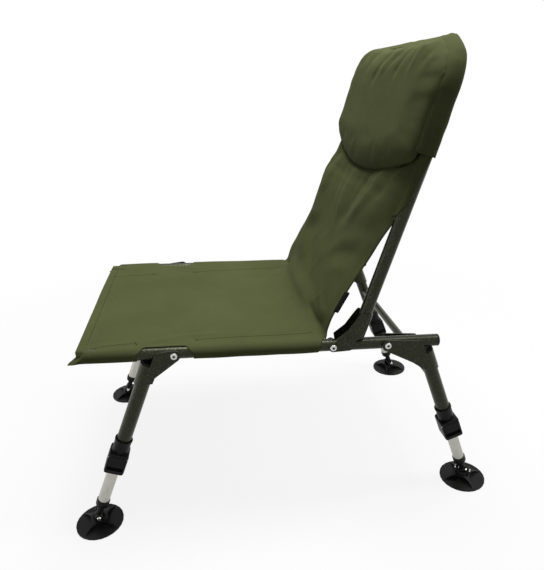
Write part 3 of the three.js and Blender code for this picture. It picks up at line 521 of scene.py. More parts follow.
# Main cloth: seat, lumbar part and back in one sheet with its sleeves. Along it a place is the
# length from the middle of the seat. The seat's front is at SEAT_FRONT and its sleeves end at
# SEAT_REAR; from there to SLEEVE_FOOT the cloth hangs free, and above that it wraps the tubes.
# WRAP_TURNS says how far by height, as its lower end is cut on a slant, and the two AHEAD tables
# say how far ahead of the back's tubes its edge and its middle are.
SEAT_FRONT, HEM_REAR, SEAT_REAR, LUMBAR_FOOT = -348.5, -329, 74.0, 77.0
FRONT_STEP, FRONT_ROWS = 2, 10
NOSE_REAR, NOSE_RUN = -290, 55
CUT_FRONT, CUT_REAR, CUT_MARGIN, CUT_FADE = -250.5, -154.5, 0.1, 15
STITCH = 194.0
FREE_HALF = 215.0
SLEEVE_FOOT, POCKET_FOOT, SLEEVE_FULL, SHEET_TOP = 246.0, 353.0, 376.0, 400.0
SLEEVE_DEGREES = 223.8
SLEEVE_TURN = radians(SLEEVE_DEGREES)
WRAP_TURNS = [(SLEEVE_FOOT, 2), (276, 66), (POCKET_FOOT + 2, 110), (SLEEVE_FULL, SLEEVE_DEGREES)]
WEB_DROP = 1.6

SPLINE_TOP, SPLINE_ROWS, TOP_ROWS = 252, 78, 34
EDGE_AHEAD = [
    (26, 55.0), (50, 55.5), (75, 52.3), (98, 48.6), (122, 43.0), (146, 36.6), (169, 30.6),
    (192, 25.2), (215, 19.2), (236, 13.4), (SPLINE_TOP, 12.2), (270, 12.3), (292, SLEEVE), (450, SLEEVE),
]
MIDDLE_AHEAD = [
    (52, 61.5), (75, 57.0), (98, 52.5), (122, 48.0), (146, 44.0), (169, 42.0), (192, 41.0),
    (215, 41.0), (236, 40.0), (SPLINE_TOP, 38.0), (280, 33.0), (305, 29.0), (345, 28.0), (450, 28.0),
]
MIDDLE_ABOVE = [(0, -5), (15, -4.6), (30, -2.5), (44, 2.5), (56, 12), (64, 25)]
PILLOW_FOOT, NEAR_RISE, FAR_RISE = 294.5, 40.0, 57.0

SEAT_FOLDS = [
    ([(214, -240), (196, -195), (184, -147), (187, -55)], 2.6, 7),
    ([(-208, -240), (-190, -195), (-176, -147), (-176, -80)], 1.8, 8),
    ([(204, -160), (199, -146)], -2.2, 5),
    ([(216, -345), (213, -300), (208, -250)], 1.3, 6),
    ([(-140, -346), (-141, -300), (-146, -248)], 1.1, 9),
    ([(-150, -256), (-146, -238)], -2.2, 6),
    ([(-152, -154), (-160, -72), (-168, 42)], 1.0, 8),
    ([(-200, -214), (-84, -225), (0, -213), (100, -206), (188, -218)], -3.2, 26),
    ([(-180, -150), (-60, -110), (60, -120), (170, -120)], 1.4, 30),
    ([(150, -40), (120, 10), (110, 60)], 1.5, 18),
    ([(-150, -30), (-130, 20), (-120, 62)], 1.2, 16),
]
BACK_FOLD_SHARE = 0.8
BACK_FOLDS = [
    ([(-130, 110), (-160, 205), (-168, 330)], 15.0, 46),
    ([(213, 13), (165, 4), (105, 12)], -4.0, 7),
    ([(214, 34), (170, 30), (120, 48)], 2.8, 10),
    ([(-212, 10), (-180, 4), (-150, 10)], -3.6, 7),
    ([(-214, 104), (-173, 62), (-104, 32)], -3.6, 17),
    ([(-200, 150), (-150, 100), (-80, 60)], 2.4, 18),
    ([(-70, 118), (-30, 76), (27, 46)], -3.6, 17),
    ([(-20, 150), (20, 110), (60, 84)], 2.4, 18),
    ([(205, 158), (128, 138), (69, 104)], -2.4, 15),
    ([(208, 186), (115, 158), (53, 104)], 2.0, 16),
    ([(200, 124), (150, 108), (110, 90)], 1.8, 14),
    ([(-142, 322), (-160, 267), (-176, 208)], -5.0, 12),
    ([(-104, 326), (-120, 262), (-134, 200)], 3.0, 13),
    ([(-64, 318), (-58, 244), (-44, 180)], -3.4, 15),
    ([(3, 308), (8, 230), (22, 160)], 3.4, 13),
    ([(52, 308), (44, 226), (40, 160)], -3.0, 14),
    ([(98, 322), (68, 232), (50, 172)], -5.2, 16),
    ([(150, 326), (130, 254), (91, 187)], 4.6, 15),
    ([(204, 344), (180, 300), (150, 240)], -3.4, 12),
    ([(224, 356), (192, 332), (158, 330)], -5.0, 7),
    ([(222, 336), (196, 314), (172, 290)], 3.4, 8),
    ([(-222, 352), (-186, 334), (-150, 330)], -4.6, 8),
    ([(150, 62), (128, 30), (122, 2)], 1.3, 3),
]


def sheet_rows():
    """The rows of the sheet: (place along it, height up the back, edge (y, z), middle (y, z))."""
    rows = []
    stops = [SEAT_FRONT + FRONT_STEP * k for k in range(FRONT_ROWS)]
    stops += spaced(HEM_REAR, CUT_FRONT, 17) + spaced(CUT_FRONT, CUT_REAR, 24)
    stops += spaced(CUT_REAR, 0, 34)[:-1]
    for along in stops:
        sag = 5.0 * between(along, [(SEAT_FRONT, 0.35), (-270, 1)])
        droop = 4.0 * falling(along, NOSE_REAR, NOSE_RUN)
        edge, middle = on_rails(along, SLEEVE - droop), on_rails(along, SLEEVE - sag)
        rows.append((along, None, Vector(edge), Vector(middle)))
    edge = [on_rails(along, SLEEVE) for along in (0, 20, 40, 60, SEAT_REAR)]
    edge += [on_back(ahead, height) for height, ahead in EDGE_AHEAD if height <= SPLINE_TOP]
    middle = [on_rails(along, SLEEVE + above) for along, above in MIDDLE_ABOVE]
    middle += [on_back(ahead, height) for height, ahead in MIDDLE_AHEAD if height <= SPLINE_TOP]
    edges, middles = spline(edge, SPLINE_ROWS), spline(middle, SPLINE_ROWS)
    length = run_lengths(edges)[-1]
    for k in range(SPLINE_ROWS):
        along = length * k / (SPLINE_ROWS - 1)
        height = SPLINE_TOP - (length - along) if along > SEAT_REAR else None
        rows.append((along, height, edges[k], middles[k]))
    for height in spaced(SPLINE_TOP, SHEET_TOP, TOP_ROWS):
        edge, middle = (on_back(between(height, t), height) for t in (EDGE_AHEAD, MIDDLE_AHEAD))
        rows.append((length + height - SPLINE_TOP, height, Vector(edge), Vector(middle)))
    return rows


FLAT_STEPS, SIDE_STEPS, ARC_STEPS, WEB_STEPS, CURL_STEPS = 40, 6, 14, 5, 5
FLAT_LAST = FLAT_STEPS + SIDE_STEPS
ARC_LAST = FLAT_LAST + ARC_STEPS
WEB_LAST = ARC_LAST + WEB_STEPS
CUT_COLUMN = FLAT_LAST + 5
CURL_RADIUS, CURL_TURN = 1.7, radians(250)


def sheet_columns():
    """Half of the sheet's columns: flat ones by x, then round the tube and back by share."""
    flat = [0.0, *spaced(0, STITCH, FLAT_STEPS), *spaced(STITCH, HALF, SIDE_STEPS)]
    columns = [("flat", x) for x in flat]
    for kind, steps in (("arc", ARC_STEPS), ("web", WEB_STEPS), ("curl", CURL_STEPS)):
        columns += [(kind, share) for share in spaced(0, 1, steps)]
    return columns


ROWS, COLUMNS = sheet_rows(), sheet_columns()
SEAT_ROWS = [r for r, row in enumerate(ROWS) if row[1] is None]
BACK_ROWS = [r for r, row in enumerate(ROWS) if row[1] is not None]


def wrapped(kind, share, turn):
    """(x, out) round a tube, for the columns of a sleeve that wraps it by a turn."""
    if kind == "arc":
        angle = turn * share
        return HALF + SLEEVE * sin(angle), SLEEVE * cos(angle)
    x0, out0 = HALF + SLEEVE * sin(SLEEVE_TURN), SLEEVE * cos(SLEEVE_TURN)
    return x0 + (STITCH - x0) * share, out0 + (SLEEVE - WEB_DROP - out0) * share


# The pressed front end of each sleeve: flat from PRESS_START to PRESS_END in (x, out)
PRESS_START, PRESS_END = Vector((196, 10.5)), Vector((237.5, -7.5))
PRESS_REAR, PRESS_RUN, HALF_PRESSED = -333.5, 7.5, 0.8
CORNER_FROM, CORNER_RUN, CORNER_REACH, CORNER_DROP = 27, 15, 12, 3
HOLLOW_TO, HOLLOW_DEPTH = 30, 3


def press_sleeve(x, out, along, side):
    """The sleeve's front end is pressed flat and sewn, with a small pointed corner low outside."""
    press = falling(along, PRESS_REAR, PRESS_RUN)
    if press <= 0:
        return side * x, out, along
    here = Vector((x, out))
    run = (PRESS_END - PRESS_START).normalized()
    reach = min(max((here - PRESS_START).dot(run), 0), (PRESS_END - PRESS_START).length)
    flat = PRESS_START + run * reach
    off = here - flat
    flat += off.normalized() * min(off.length, HALF_PRESSED)
    here = here.lerp(flat, press)
    corner = rising(reach, CORNER_FROM, CORNER_RUN) * press
    hollow = sin(pi * min(reach / HOLLOW_TO, 1)) * press
    along -= front_reach(side * x, along) + CORNER_REACH * corner - HOLLOW_DEPTH * hollow
    return side * here[0], here[1] - CORNER_DROP * corner, along


def pillow_foot(x):
    """The height of the pillow's lower edge, which is higher at the far side."""
    return PILLOW_FOOT + (NEAR_RISE if x > 0 else FAR_RISE) * (x / HALF) ** 2


def front_reach(x, along):
    """How much further forward the seat's front hem runs, most at the far side."""
    return (1.5 + 5 * falling(x, HALF, 2 * HALF)) * falling(along, -318, 28)


def sheet_weight(x, along, height):
    """How near the sheet is to its middle line at x: 0 at its edge, 1 in its middle."""
    up = rising(along, 20, LUMBAR_FOOT - 20)
    power = 2.2 + 2.3 * rising(along, LUMBAR_FOOT, 150) + 3.0 * rising(along, 270, 50)
    seat_weight = 1 - min(abs(x) / STITCH, 1) ** 2.2
    back_weight = 1 - min(abs(x) / HALF, 1) ** power
    weight = seat_weight * (1 - up) + back_weight * up
    if height is not None:
        weight *= 1 - smooth((height - pillow_foot(x) + 9) / 26)
    return weight


def flat_place(row, x):
    """(y, z) of the sheet between its sleeves, and its normal there."""
    along, height, edge, middle = ROWS[row]
    before, after = ROWS[max(row - 1, 0)], ROWS[min(row + 1, len(ROWS) - 1)]
    weight = sheet_weight(x, along, height)
    place = edge.lerp(middle, weight)
    run = (after[2] - before[2]).lerp(after[3] - before[3], weight).normalized()
    normal = Vector((-run[1], run[0]))
    rise = 0.9 * uneven(x * 0.011, along * 0.011, 3.1)
    rise += 0.3 * uneven(x * 0.04, along * 0.04, 7.7)
    if height is None:
        rise += fold_height(SEAT_FOLDS, x, along)
        stitched = bell(x - STITCH, 3.5) if x > 0 else 0
        wander = 3 * uneven(along * 0.05, 0, 0)
        rise -= stitched * (0.7 + 0.4 * sin(along * 0.42 + wander))
        fixed = falling(abs(x), HALF, 22)
        if along < HEM_REAR - 3:
            rise += 0.8
    else:
        rise += BACK_FOLD_SHARE * fold_height(BACK_FOLDS, x, height)
        fixed = falling(abs(x), HALF, 26)
        if height < SLEEVE_FOOT:
            fixed = 0.4 + 0.6 * fixed
        roll = rising(height, 20, 60) * (1 - rising(height, 160, 60))
        place = place - normal * 3.5 * roll * rising(abs(x), 192, 32) ** 2
    forward = Vector((cos(SLOPE), -sin(SLOPE))) * front_reach(x, along)
    return place + normal * rise * fixed - forward, normal


def narrowed(x, height):
    """The free lumbar part is a little narrower than the seat and the back."""
    if height is None:
        return x
    share = rising(height, 2, 14) * (1 - rising(height, 150, 96))
    return x * (1 - share * (1 - FREE_HALF / HALF))


def sheet_point(row, column, side):
    along, height = ROWS[row][:2]
    kind, value = COLUMNS[column]
    if kind == "flat":
        place = flat_place(row, side * value)[0]
        return Vector((narrowed(side * value, height), place[0], place[1]))
    if kind == "curl":
        return curl_point(row, value, side)
    if height is None:
        x, out = wrapped(kind, value, SLEEVE_TURN)
        shrink = 1 - 0.08 * falling(along, NOSE_REAR, NOSE_RUN)
        x, out = HALF + (x - HALF) * (1 + (shrink - 1) * 0.3), out * shrink
        fill = 0.6 * uneven(x * 0.03 * side, along * 0.02, out * 0.03)
        x, out = x + fill * (x - HALF) / SLEEVE, out + fill * out / SLEEVE
        low = value if kind == "arc" else 1.0
        along -= 15 * low * rising(along, 38, SEAT_REAR - 38)
        x, out, along = press_sleeve(x, out, along, side)
        y, z = on_rails(along, out)
        return Vector((x, y, z))
    x, out = wrapped(kind, value, radians(between(height, WRAP_TURNS)))
    ripple = 1 + 0.05 * uneven(x * 0.03 * side, height * 0.025, out * 0.05)
    ahead = between(height, EDGE_AHEAD)
    y, z = on_back(out * ripple * ahead / SLEEVE, height)
    return Vector((side * (HALF + (x - HALF) * ripple), y, z))


def curl_point(row, share, side):
    """The narrow rolled hem along the cloth's free edge."""
    last = edge_column(row)
    edge, inner = sheet_point(row, last, side), sheet_point(row, last - 1, side)
    outward = (edge - inner).normalized()
    before, after = ROWS[row - 1][2], ROWS[min(row + 1, len(ROWS) - 1)][2]
    along = Vector((0, *(after - before))).normalized()
    normal = (outward.cross(along) * side).normalized()
    angle = CURL_TURN * share
    return edge + outward * CURL_RADIUS * sin(angle) - normal * CURL_RADIUS * (1 - cos(angle))


def edge_column(row):
    """The last column that a row has before its hem."""
    along, height = ROWS[row][:2]
    if height is None:
        return CUT_COLUMN if CUT_FRONT + CUT_MARGIN < along < CUT_REAR - CUT_MARGIN else WEB_LAST
    if height < SLEEVE_FOOT:
        return FLAT_LAST
    return ARC_LAST if height < SLEEVE_FULL else WEB_LAST


def hemmed(row):
    height = ROWS[row][1]
    return height is not None and height < SLEEVE_FULL


def draw_in_cut_outs(points, index):
    """Draws the cloth in over the rail where the leg brackets stand."""
    columns = range(FLAT_STEPS + 1, CUT_COLUMN + 1)
    for row, (along, *_) in enumerate(ROWS):
        if not CUT_FRONT - CUT_MARGIN < along < CUT_REAR + CUT_MARGIN:
            continue
        pull = rising(along, CUT_FRONT, CUT_FADE) * falling(along, CUT_REAR, CUT_FADE)
        for side, most in ((1, 0.40), (-1, 0.9)):
            line = [points[index[row, c, side]].copy() for c in columns]
            lengths = run_lengths(line)
            for n, column in enumerate(columns):
                want = lengths[n] * (1 - pull * most)
                at = max(i for i in range(len(line) - 1) if lengths[i] <= want + 1e-6)
                points[index[row, column, side]] = point_at(line, lengths, at, want)


def sheet_points():
    """The sheet's points, and the index of each by (row, column, side)."""
    points, index = [], {}
    curl = list(range(WEB_LAST + 1, len(COLUMNS)))
    for row in range(len(ROWS)):
        kept = list(range(edge_column(row) + 1)) + (curl if hemmed(row) else [])
        for side in (1, -1):
            for column in kept:
                if column == 0 and side < 0:
                    index[row, 0, -1] = index[row, 0, 1]
                    continue
                index[row, column, side] = len(points)
                points.append(sheet_point(row, column, side))
    draw_in_cut_outs(points, index)
    return points, index


def sheet_faces(index):
    faces = []
    for row in range(len(ROWS) - 1):
        last = min(edge_column(row), edge_column(row + 1))
        steps = [(c, c + 1) for c in range(last)]
        if hemmed(row) and hemmed(row + 1) and edge_column(row) == edge_column(row + 1):
            steps.append((last, WEB_LAST + 1))
            steps += [(c, c + 1) for c in range(WEB_LAST + 1, len(COLUMNS) - 1)]
        for side in (1, -1):
            for a, b in steps:
                quad = [index[row, a, side], index[row, b, side],
                        index[row + 1, b, side], index[row + 1, a, side]]
                faces.append(tuple(quad if side > 0 else reversed(quad)))
    return faces


# Above this height, in metres, the cloth's weave lies along the back.
BACK_WEAVE_FROM = 0.36


def build_sheet():
    points, index = sheet_points()
    faces = sheet_faces(index)
    used = sorted({i for face in faces for i in face})
    renumber = {old: new for new, old in enumerate(used)}
    made = mesh_object("seat_and_back_cloth", [points[i] for i in used],
                       [tuple(renumber[i] for i in face) for face in faces], seat_weave)
    made.data.materials.append(back_weave)
    for polygon in made.data.polygons:
        if polygon.center[2] > BACK_WEAVE_FROM:
            polygon.material_index = 1
    return made


def thicken(item, thickness):
    """Gives a cloth its thickness, on the inner side of its surface."""
    set_all(item.modifiers.new("thickness", "SOLIDIFY"), {"thickness": thickness, "offset": -1})


SHEET_THICKNESS, POCKET_THICKNESS = 0.0011, 0.001
sheet = build_sheet()
thicken(sheet, SHEET_THICKNESS)

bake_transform(sheet)
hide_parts("seat_cloth", "lumbar_cloth", "back_cloth")


# Stitches, bar tacks and the webbing tab. A bar tack is (x, along, turn).
STITCH_LINES = [
    [(203, -146), (202, -56), (200, 62)],
    [(-152, -152), (-160, -72), (-168, 60)],
    [(-141, -342), (-142, -300), (-147, -252)],
    [(217, -326), (214, -296), (210, -254)],
    [(-208, -334), (0, -334), (206, -334)],
]
BAR_TACKS = [(204, -149, 0.5), (-149, -250, 1.2), (-153, -156, 1.2), (211, -252, 0.6)]
HALF_TACK = 5


def seat_line(places, lift=0.3, count=60):
    """Points on the seat's upper face under a line of (x, along) places, with their normals."""
    points, normals = [], []
    for x, along, _ in spline([(*place, 0) for place in places], count):
        row = min(SEAT_ROWS, key=lambda r: abs(ROWS[r][0] - along))
        place, normal = flat_place(row, x)
        shift = Vector(on_rails(along, 0)) - Vector(on_rails(ROWS[row][0], 0))
        normals.append(Vector((0, *normal)))
        points.append(Vector((x, place[0] + shift[0], place[1] + shift[1])) + normals[-1] * lift)
    return points, normals


def add_stitches():
    points, faces = [], []
    for places in STITCH_LINES:
        stitch(points, faces, *seat_line(places))
    for x, along, turn in BAR_TACKS:
        dx, dy = HALF_TACK * cos(turn), HALF_TACK * sin(turn)
        ends = [(x - dx, along - dy), (x + dx, along + dy)]
        tack = seat_line(ends, lift=0.4, count=12)
        stitch(points, faces, *tack, pitch=1.3, length=2.6, radius=0.7)
    made = mesh_object("seat_stitches", points, faces, thread)
    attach(made, "rails")
    return made


stitches = add_stitches()

TAB_LOW, TAB_HIGH, TAB_STEPS, TAB_END_SIZE = 56.0, 98.0, 12, 0.9
TAB_OFFSET = Vector((1.6, 2.2, -1.2))
TAB_OUTWARD = Vector((0.55, 0.80, -0.28)).normalized()
TAB_SECTION = [(-4, -0.9), (4.2, -1.0), (5.0, -0.6), (5.0, 0.6), (4.2, 1.0), (-4, 0.9)]


def free_edge(height):
    """A place on the near free edge of the cloth."""
    row = min(BACK_ROWS, key=lambda r: abs(ROWS[r][1] - height))
    return sheet_point(row, FLAT_LAST, 1)


def add_tab():
    """A folded webbing tab sewn into the near free edge of the cloth."""
    start, end = free_edge(TAB_LOW) + TAB_OFFSET, free_edge(TAB_HIGH) + TAB_OFFSET
    flat = (end - start).normalized().cross(TAB_OUTWARD)
    rings = []
    for k in range(TAB_STEPS + 1):
        size = 1 if 0 < k < TAB_STEPS else TAB_END_SIZE
        rings.append((start.lerp(end, k / TAB_STEPS), TAB_OUTWARD * size, flat * size))
    made = mesh_object("webbing_tab", *sweep(rings, TAB_SECTION), webbing)
    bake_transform(made)
    return made


tab = add_tab()


# Head pillow, in (x, ahead, height) of the back until it stands there. BEND_CENTRE, (x, height), is
# the centre of the frame's top bends. The side seam is SEAM_AHEAD of the tubes, and the front face
# begins at FRONT_FROM.
BEND_CENTRE = Vector((152, 453))
PILLOW_CENTRE = Vector((0, 430))
PILLOW_HALF, PILLOW_BEND = 236.0, 83.0
PILLOW_BACK, PILLOW_FRONT, FRONT_FROM, SEAM_AHEAD = 14.2, 44.2, 33, 37
PILLOW_SECTION = [
    *((share, PILLOW_BACK) for share in (0.02, 0.3, 0.6, 0.85, 0.96)),
    (0.984, 15.0), (0.997, 17.8), (1.001, 21.5), (0.996, 25.6), (0.984, 29.5), (0.965, 32.8),
    (0.937, 35.8), (0.897, 38.4), (0.84, 40.6), (0.765, 42.2), (0.65, 43.4), (0.45, 44.0),
    (0.22, PILLOW_FRONT), (0.02, PILLOW_FRONT),
]
TOP_SLOPE = [(6, 0), (15, 4), (24, 10), (32, 15), (40, 18), (48, 19)]
PILLOW_FOLDS = [
    ([(14, 537), (-8, 500), (-28, 464), (-33, 444)], -3.2, 8),
    ([(40, 537), (22, 500), (2, 455)], 2.2, 9),
    ([(70, 537), (52, 505), (30, 470)], -3.0, 7),
    ([(112, 537), (98, 505), (84, 476), (80, 458)], -3.4, 8),
    ([(140, 537), (135, 500), (131, 466)], -2.8, 7),
    ([(160, 534), (156, 500), (150, 474)], 2.2, 8),
    ([(188, 528), (185, 500), (181, 470)], -3.2, 8),
    ([(-60, 537), (-84, 500), (-92, 470)], -2.4, 9),
    ([(-128, 535), (-142, 505), (-146, 482)], -2.4, 9),
    ([(232, 500), (214, 494), (200, 480)], -2.6, 7),
    ([(-170, 366), (-120, 352), (-60, 346), (10, 346), (80, 352), (150, 372)], -1.6, 12),
]
VOXEL_SIZE = 5.5 * MM
CLOTH_FRAMES = 20
CLOTH_SETTINGS = {
    "quality": 6, "use_pressure": True, "uniform_pressure_force": 3.5, "tension_stiffness": 12,
    "bending_stiffness": 0.4, "shrink_min": -0.005, "vertex_group_mass": "held",
}
MOST_PUFF = 4 * MM


def quarter_turn(steps):
    """The directions of a quarter circle, from sideways to up."""
    turns = [pi / 2 * k / steps for k in range(steps + 1)]
    return [Vector((cos(turn), sin(turn))) for turn in turns]


def pillow_outline():
    """The pillow's outline in (x, height): an arc below, straight sides and round top corners."""
    side, corner, radius = PILLOW_HALF, BEND_CENTRE, PILLOW_BEND
    outline = [Vector((x, pillow_foot(x))) for x in range(-216, 217, 12)]
    for way in (1, -1):
        low = pillow_foot(way * side)
        part = [Vector((side - 9, low - 3)), Vector((side - 2.5, low + 4)), Vector((side, low + 14))]
        part += [Vector((side, low + 14 + (corner.y - low - 14) * k / 9)) for k in range(1, 9)]
        part += [corner + turned * radius for turned in quarter_turn(14)]
        part += [Vector((corner.x * (1 - k / 12), corner.y + radius - 3.5 * sin(pi * k / 24)))
                 for k in range(1, 12)]
        if way < 0:
            part = [Vector((-p.x, p.y)) for p in reversed(part)]
        outline += part
    return outline


def pillow_body():
    outline = pillow_outline()
    points = []
    for share, ahead in PILLOW_SECTION:
        for place in outline:
            at = PILLOW_CENTRE + (place - PILLOW_CENTRE) * share
            slope = between(ahead, TOP_SLOPE) * (1 - 0.45 * falling(at.x, -20, 120))
            depth = ahead + 3.5 * falling(at.y, 400, 70) * rising(ahead, FRONT_FROM, 9)
            depth += 0.6 * (PILLOW_FRONT - ahead) * rising(ahead, FRONT_FROM, 5) * rising(at.y, 470, 40)
            points.append((at.x, depth, at.y - slope * rising(at.y, 455, 70)))
    faces = ring_faces(len(PILLOW_SECTION), len(outline))
    return mesh_object("head_cushion", points, faces, back_weave)


def apply_modifiers(item):
    """Makes the item's mesh the one that its modifiers give."""
    shown = item.evaluated_get(bpy.context.evaluated_depsgraph_get())
    mesh = bpy.data.meshes.new_from_object(shown)
    item.modifiers.clear()
    item.data = mesh


def reshape(item, kind, values):
    """Changes the item's mesh by a modifier."""
    set_all(item.modifiers.new(kind.lower(), kind), values)
    apply_modifiers(item)


def puff(item):
    """Blows the cushion up a little as cloth, held at its back and along its seams."""
    rest = [v.co.copy() for v in item.data.vertices]
    held = item.vertex_groups.new(name="held")
    for vertex in item.data.vertices:
        ahead = vertex.co.y / MM
        seam = bell(ahead - SEAM_AHEAD, 2.5) * 0.6
        held.add([vertex.index], 1.0 if ahead < 17 else seam, "REPLACE")
    cloth = item.modifiers.new("cloth", "CLOTH")
    set_all(cloth.settings, CLOTH_SETTINGS).effector_weights.gravity = 0
    set_all(cloth.point_cache, {"frame_start": 1, "frame_end": CLOTH_FRAMES})
    scene = bpy.context.scene
    for step in range(1, CLOTH_FRAMES + 1):
        scene.frame_set(step)
    apply_modifiers(item)
    scene.frame_set(1)
    for vertex, start in zip(item.data.vertices, rest):
        move = vertex.co - start
        if move.length > MOST_PUFF:
            vertex.co = start + move.normalized() * MOST_PUFF


def crumple(item):
    """Gathers at the cushion's top seam, puckers round its sides and a soft uneven fill."""
    item.data.update()
    normals = [v.normal.copy() for v in item.data.vertices]
    for vertex, normal in zip(item.data.vertices, normals):
        x, ahead, height = (v / MM for v in vertex.co)
        if ahead < 16:
            continue
        front = rising(ahead, 30, 10)
        rise = fold_height(PILLOW_FOLDS, x, height) * front
        turn = atan2(height - PILLOW_CENTRE.y, x)
        around = turn * 190 + 9 * uneven(x * 0.02, height * 0.02, 1.3)
        pucker = sin(around * 2 * pi / 17) + 0.6 * sin(around * 2 * pi / 9.3)
        side = rising(ahead, 15, 5) * (1 - rising(ahead, 42, 5))
        high = rising(height, 335, 40)
        rise += 0.2 * bell(ahead - SEAM_AHEAD, 5.5) * pucker * high
        rise += (0.3 + 0.7 * high) * side * 1.5 * uneven(around * 0.05, ahead * 0.03, 4.0)
        rise += front * 1.3 * uneven(x * 0.014, height * 0.014, 9.0)
        rise += front * 0.25 * uneven(x * 0.06, height * 0.06, 2.0)
        vertex.co += normal * rise * MM


def stand_on_back(item):
    """Moves a mesh from (x, ahead, height) places to the reclined back."""
    for vertex in item.data.vertices:
        x, ahead, height = vertex.co
        y, z = on_back(ahead / MM, height / MM)
        vertex.co = (x, y * MM, z * MM)
    item.data.update()


def add_pillow():
    made = pillow_body()
    reshape(made, "REMESH", {"mode": "VOXEL", "voxel_size": VOXEL_SIZE})
    puff(made)
    # This smooths the fine wrinkles that the cloth solver leaves.
    reshape(made, "SMOOTH", {"factor": 0.5, "iterations": 9})
    crumple(made)
    reshape(made, "SUBSURF", {"levels": 1, "render_levels": 1})
    # (x, ahead, height) is a left-handed frame of the back, so faces turn over in it.
    made.data.flip_normals()
    stand_on_back(made)
    made.data.materials.clear()
    made.data.materials.append(back_weave)
    made.data.shade_smooth()
    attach(made, "back")
    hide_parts("head_pillow")
    return made


pillow = add_pillow()


# Pocket of the pillow, which slips over the frame's top. From WALL in front, (ahead, share of the
# roll's radius), it goes back over the tube in ROLL_STEPS and down to its hem in PANEL_STEPS.
FRAME_BEND = 72.0
WALL = [(26, 0.55), (22, 0.80), (16, 0.99), (8, 1.02)]
ROLL_STEPS, PANEL_STEPS = 9, 12
HEM_HALF = 206
PEAK = Vector((165, 525))


def pocket_path():
    """The frame's line from one side over the top to the other: (x, height) and its outward way."""
    foot, corner, radius = POCKET_FOOT, BEND_CENTRE, FRAME_BEND
    half = [(Vector((HALF, foot + (corner.y - foot) * k / 22)), Vector((1, 0))) for k in range(22)]
    half += [(corner + way * radius, way) for way in quarter_turn(24)]
    half += [(Vector((corner.x * (1 - k / 24), corner.y + radius)), Vector((0, 1))) for k in range(1, 25)]
    return half + [(Vector((-p.x, p.y)), Vector((-w.x, w.y))) for p, w in reversed(half[:-1])]


def roll_points(place, way, around):
    """The pocket round the tube at a place of the frame's line, from its front to its rear."""
    flare = 0.2 * falling(place.y, POCKET_FOOT + 5, 5)
    peak = bell((place - PEAK).length, 9)
    section = [(ahead, out * around) for ahead, out in WALL]
    for n in range(ROLL_STEPS + 1):
        turn = pi / 2 * (1 + n / ROLL_STEPS)
        section.append((around * cos(turn), around * sin(turn)))
    points = []
    for ahead, out in section:
        ripple = 1.5 * uneven(place.x * 0.02, place.y * 0.02, ahead * 0.05)
        ripple += 0.8 * uneven(place.x * 0.06, place.y * 0.06, ahead * 0.06)
        rise = max(ripple, -0.2) + 4 * peak * bell(ahead - 2, 9) + flare
        shrink = 1 + rise / around
        tucked = 2.5 * rising(place.x, -30, 60) * rising(ahead, 10, 8)
        drop = (between(ahead, TOP_SLOPE) + tucked) * max(way.y, 0)
        at = place + way * (out * shrink - drop)
        points.append((at.x, ahead * (shrink if ahead < 6 else 1), at.y))
    return points


def panel_points(place, hem, around):
    """The pocket's rear panel, from a place of the frame's line down to the hem."""
    points = []
    for n in range(1, PANEL_STEPS + 1):
        at = place.lerp(hem, n / PANEL_STEPS)
        slack = 3.0 * sin(pi * (n / PANEL_STEPS)) * rising(at.y, POCKET_FOOT, 60)
        soft = 1.6 * uneven(at.x * 0.015, at.y * 0.015, 5.0)
        points.append((at.x, -around + slack + soft * smooth(n / 3), at.y))
    return points


def add_pocket():
    path = pocket_path()
    points, faces = [], []
    for k, (place, way) in enumerate(path):
        hem = Vector((HEM_HALF * (1 - 2 * k / (len(path) - 1)), POCKET_FOOT))
        around = 13.9 - 1.3 * rising(place.y, 405, 35)
        points += roll_points(place, way, around) + panel_points(place, hem, around)
    columns = len(points) // len(path)
    for row in range(len(path) - 1):
        for c in range(columns - 1):
            a = row * columns + c
            faces.append((a, a + 1, a + 1 + columns, a + columns))
    made = mesh_object("pillow_pocket", points, faces, back_weave)
    stand_on_back(made)
    return made


pocket = add_pocket()
thicken(pocket, POCKET_THICKNESS)
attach(pocket, "back")


# Floor, backdrop and light. A lamp is (name, place, aim, width, length, power).
FLOOR_HALF, FLOOR_DROP = 6000, 0.0005
FLOOR_LIT, FLOOR_SEEN = grey(0.36), grey(0.95)
FLOOR_GLOW = {"From Min": 0.7, "From Max": 1.6, "To Min": 0.87, "To Max": 1.0}
SKY_STRENGTH = 0.135
LAMPS = [
    ("key", (-0.25, 0.15, 2.6), (0, 0, 0.4), 0.9, 0.9, 44),
    ("rear_key", (0.3, 0.95, 2.5), (0.2, 0.3, 0.4), 0.4, 0.9, 17),
    ("front_fill", (0.0, -2.3, 0.35), (0, 0.1, 0.5), 1.4, 1.0, 5),
    ("rear_fill", (-0.5, 2.5, 0.7), (0, 0.1, 0.5), 1.4, 1.0, 11),
]


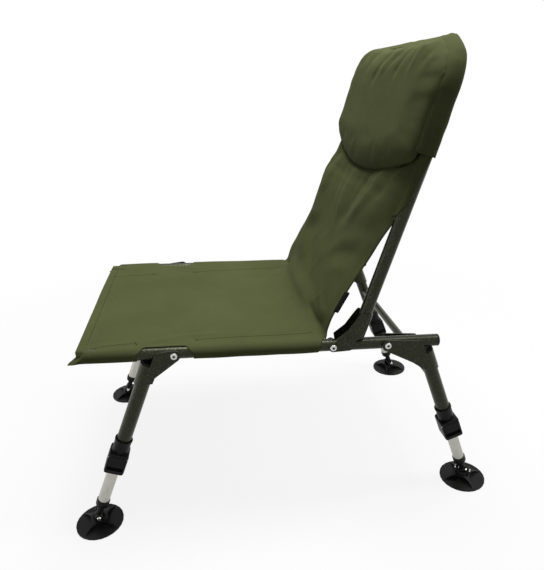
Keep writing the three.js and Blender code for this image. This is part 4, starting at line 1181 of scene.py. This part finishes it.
def white_when_seen(tree, kind, base, share):
    """Mixes a white glow into a surface or sky for the camera, mirror and see-through rays."""
    glow = add(tree, kind, inputs={"Color": WHITE, "Strength": 1.0})
    rays = tree.nodes.new("ShaderNodeLightPath").outputs
    seen = rays["Is Camera Ray"]
    for other in ("Is Glossy Ray", "Is Transmission Ray"):
        both = {0: seen, 1: rays[other]}
        seen = add(tree, "ShaderNodeMath", {"operation": "ADD", "use_clamp": True}, both).outputs["Value"]
    part = add(tree, "ShaderNodeMath", {"operation": "MULTIPLY"}, {0: seen, 1: share})
    blend = {0: part.outputs["Value"], 1: base, 2: glow.outputs[0]}
    return add(tree, "ShaderNodeMixShader", inputs=blend).outputs["Shader"]


def add_floor():
    made, tree, shader, place = material("studio_floor")
    seen = tree.nodes.new("ShaderNodeLightPath").outputs["Is Camera Ray"]
    colour = mix(tree, seen, FLOOR_LIT, FLOOR_SEEN)
    set_inputs(shader, {"Base Color": colour, "Roughness": 0.9, "Specular IOR Level": 0.0})
    reach = add(tree, "ShaderNodeVectorMath", {"operation": "LENGTH"}, {0: place}).outputs["Value"]
    glow = {"Value": reach, **FLOOR_GLOW}
    far = add(tree, "ShaderNodeMapRange", {"interpolation_type": "SMOOTHSTEP"}, glow)
    surface = white_when_seen(tree, "ShaderNodeEmission", shader.outputs["BSDF"], far.outputs["Result"])
    set_inputs(tree.nodes["Material Output"], {"Surface": surface})
    corners = [(FLOOR_HALF * x, FLOOR_HALF * y, 0) for x, y in ((-1, -1), (1, -1), (1, 1), (-1, 1))]
    floor = mesh_object("studio_floor", corners, [(0, 1, 2, 3)], made)
    floor.location.z = -FLOOR_DROP


def add_light():
    world = bpy.data.worlds.new("studio")
    world.use_nodes = True
    bpy.context.scene.world = world
    tree = world.node_tree
    base = tree.nodes["Background"]
    set_inputs(base, {"Color": WHITE, "Strength": SKY_STRENGTH})
    surface = white_when_seen(tree, "ShaderNodeBackground", base.outputs["Background"], 1.0)
    set_inputs(tree.nodes["World Output"], {"Surface": surface})
    for name, place, aim, width, length, power in LAMPS:
        values = {"shape": "RECTANGLE", "size": width, "size_y": length, "energy": power}
        holder = new_object(name, set_all(bpy.data.lights.new(name, "AREA"), values))
        aimed = (Vector(aim) - Vector(place)).to_track_quat("-Z", "Y")
        set_all(holder, {"location": place, "rotation_mode": "QUATERNION", "rotation_quaternion": aimed})
    bpy.context.scene.view_settings.view_transform = "Standard"


add_floor()
add_light()
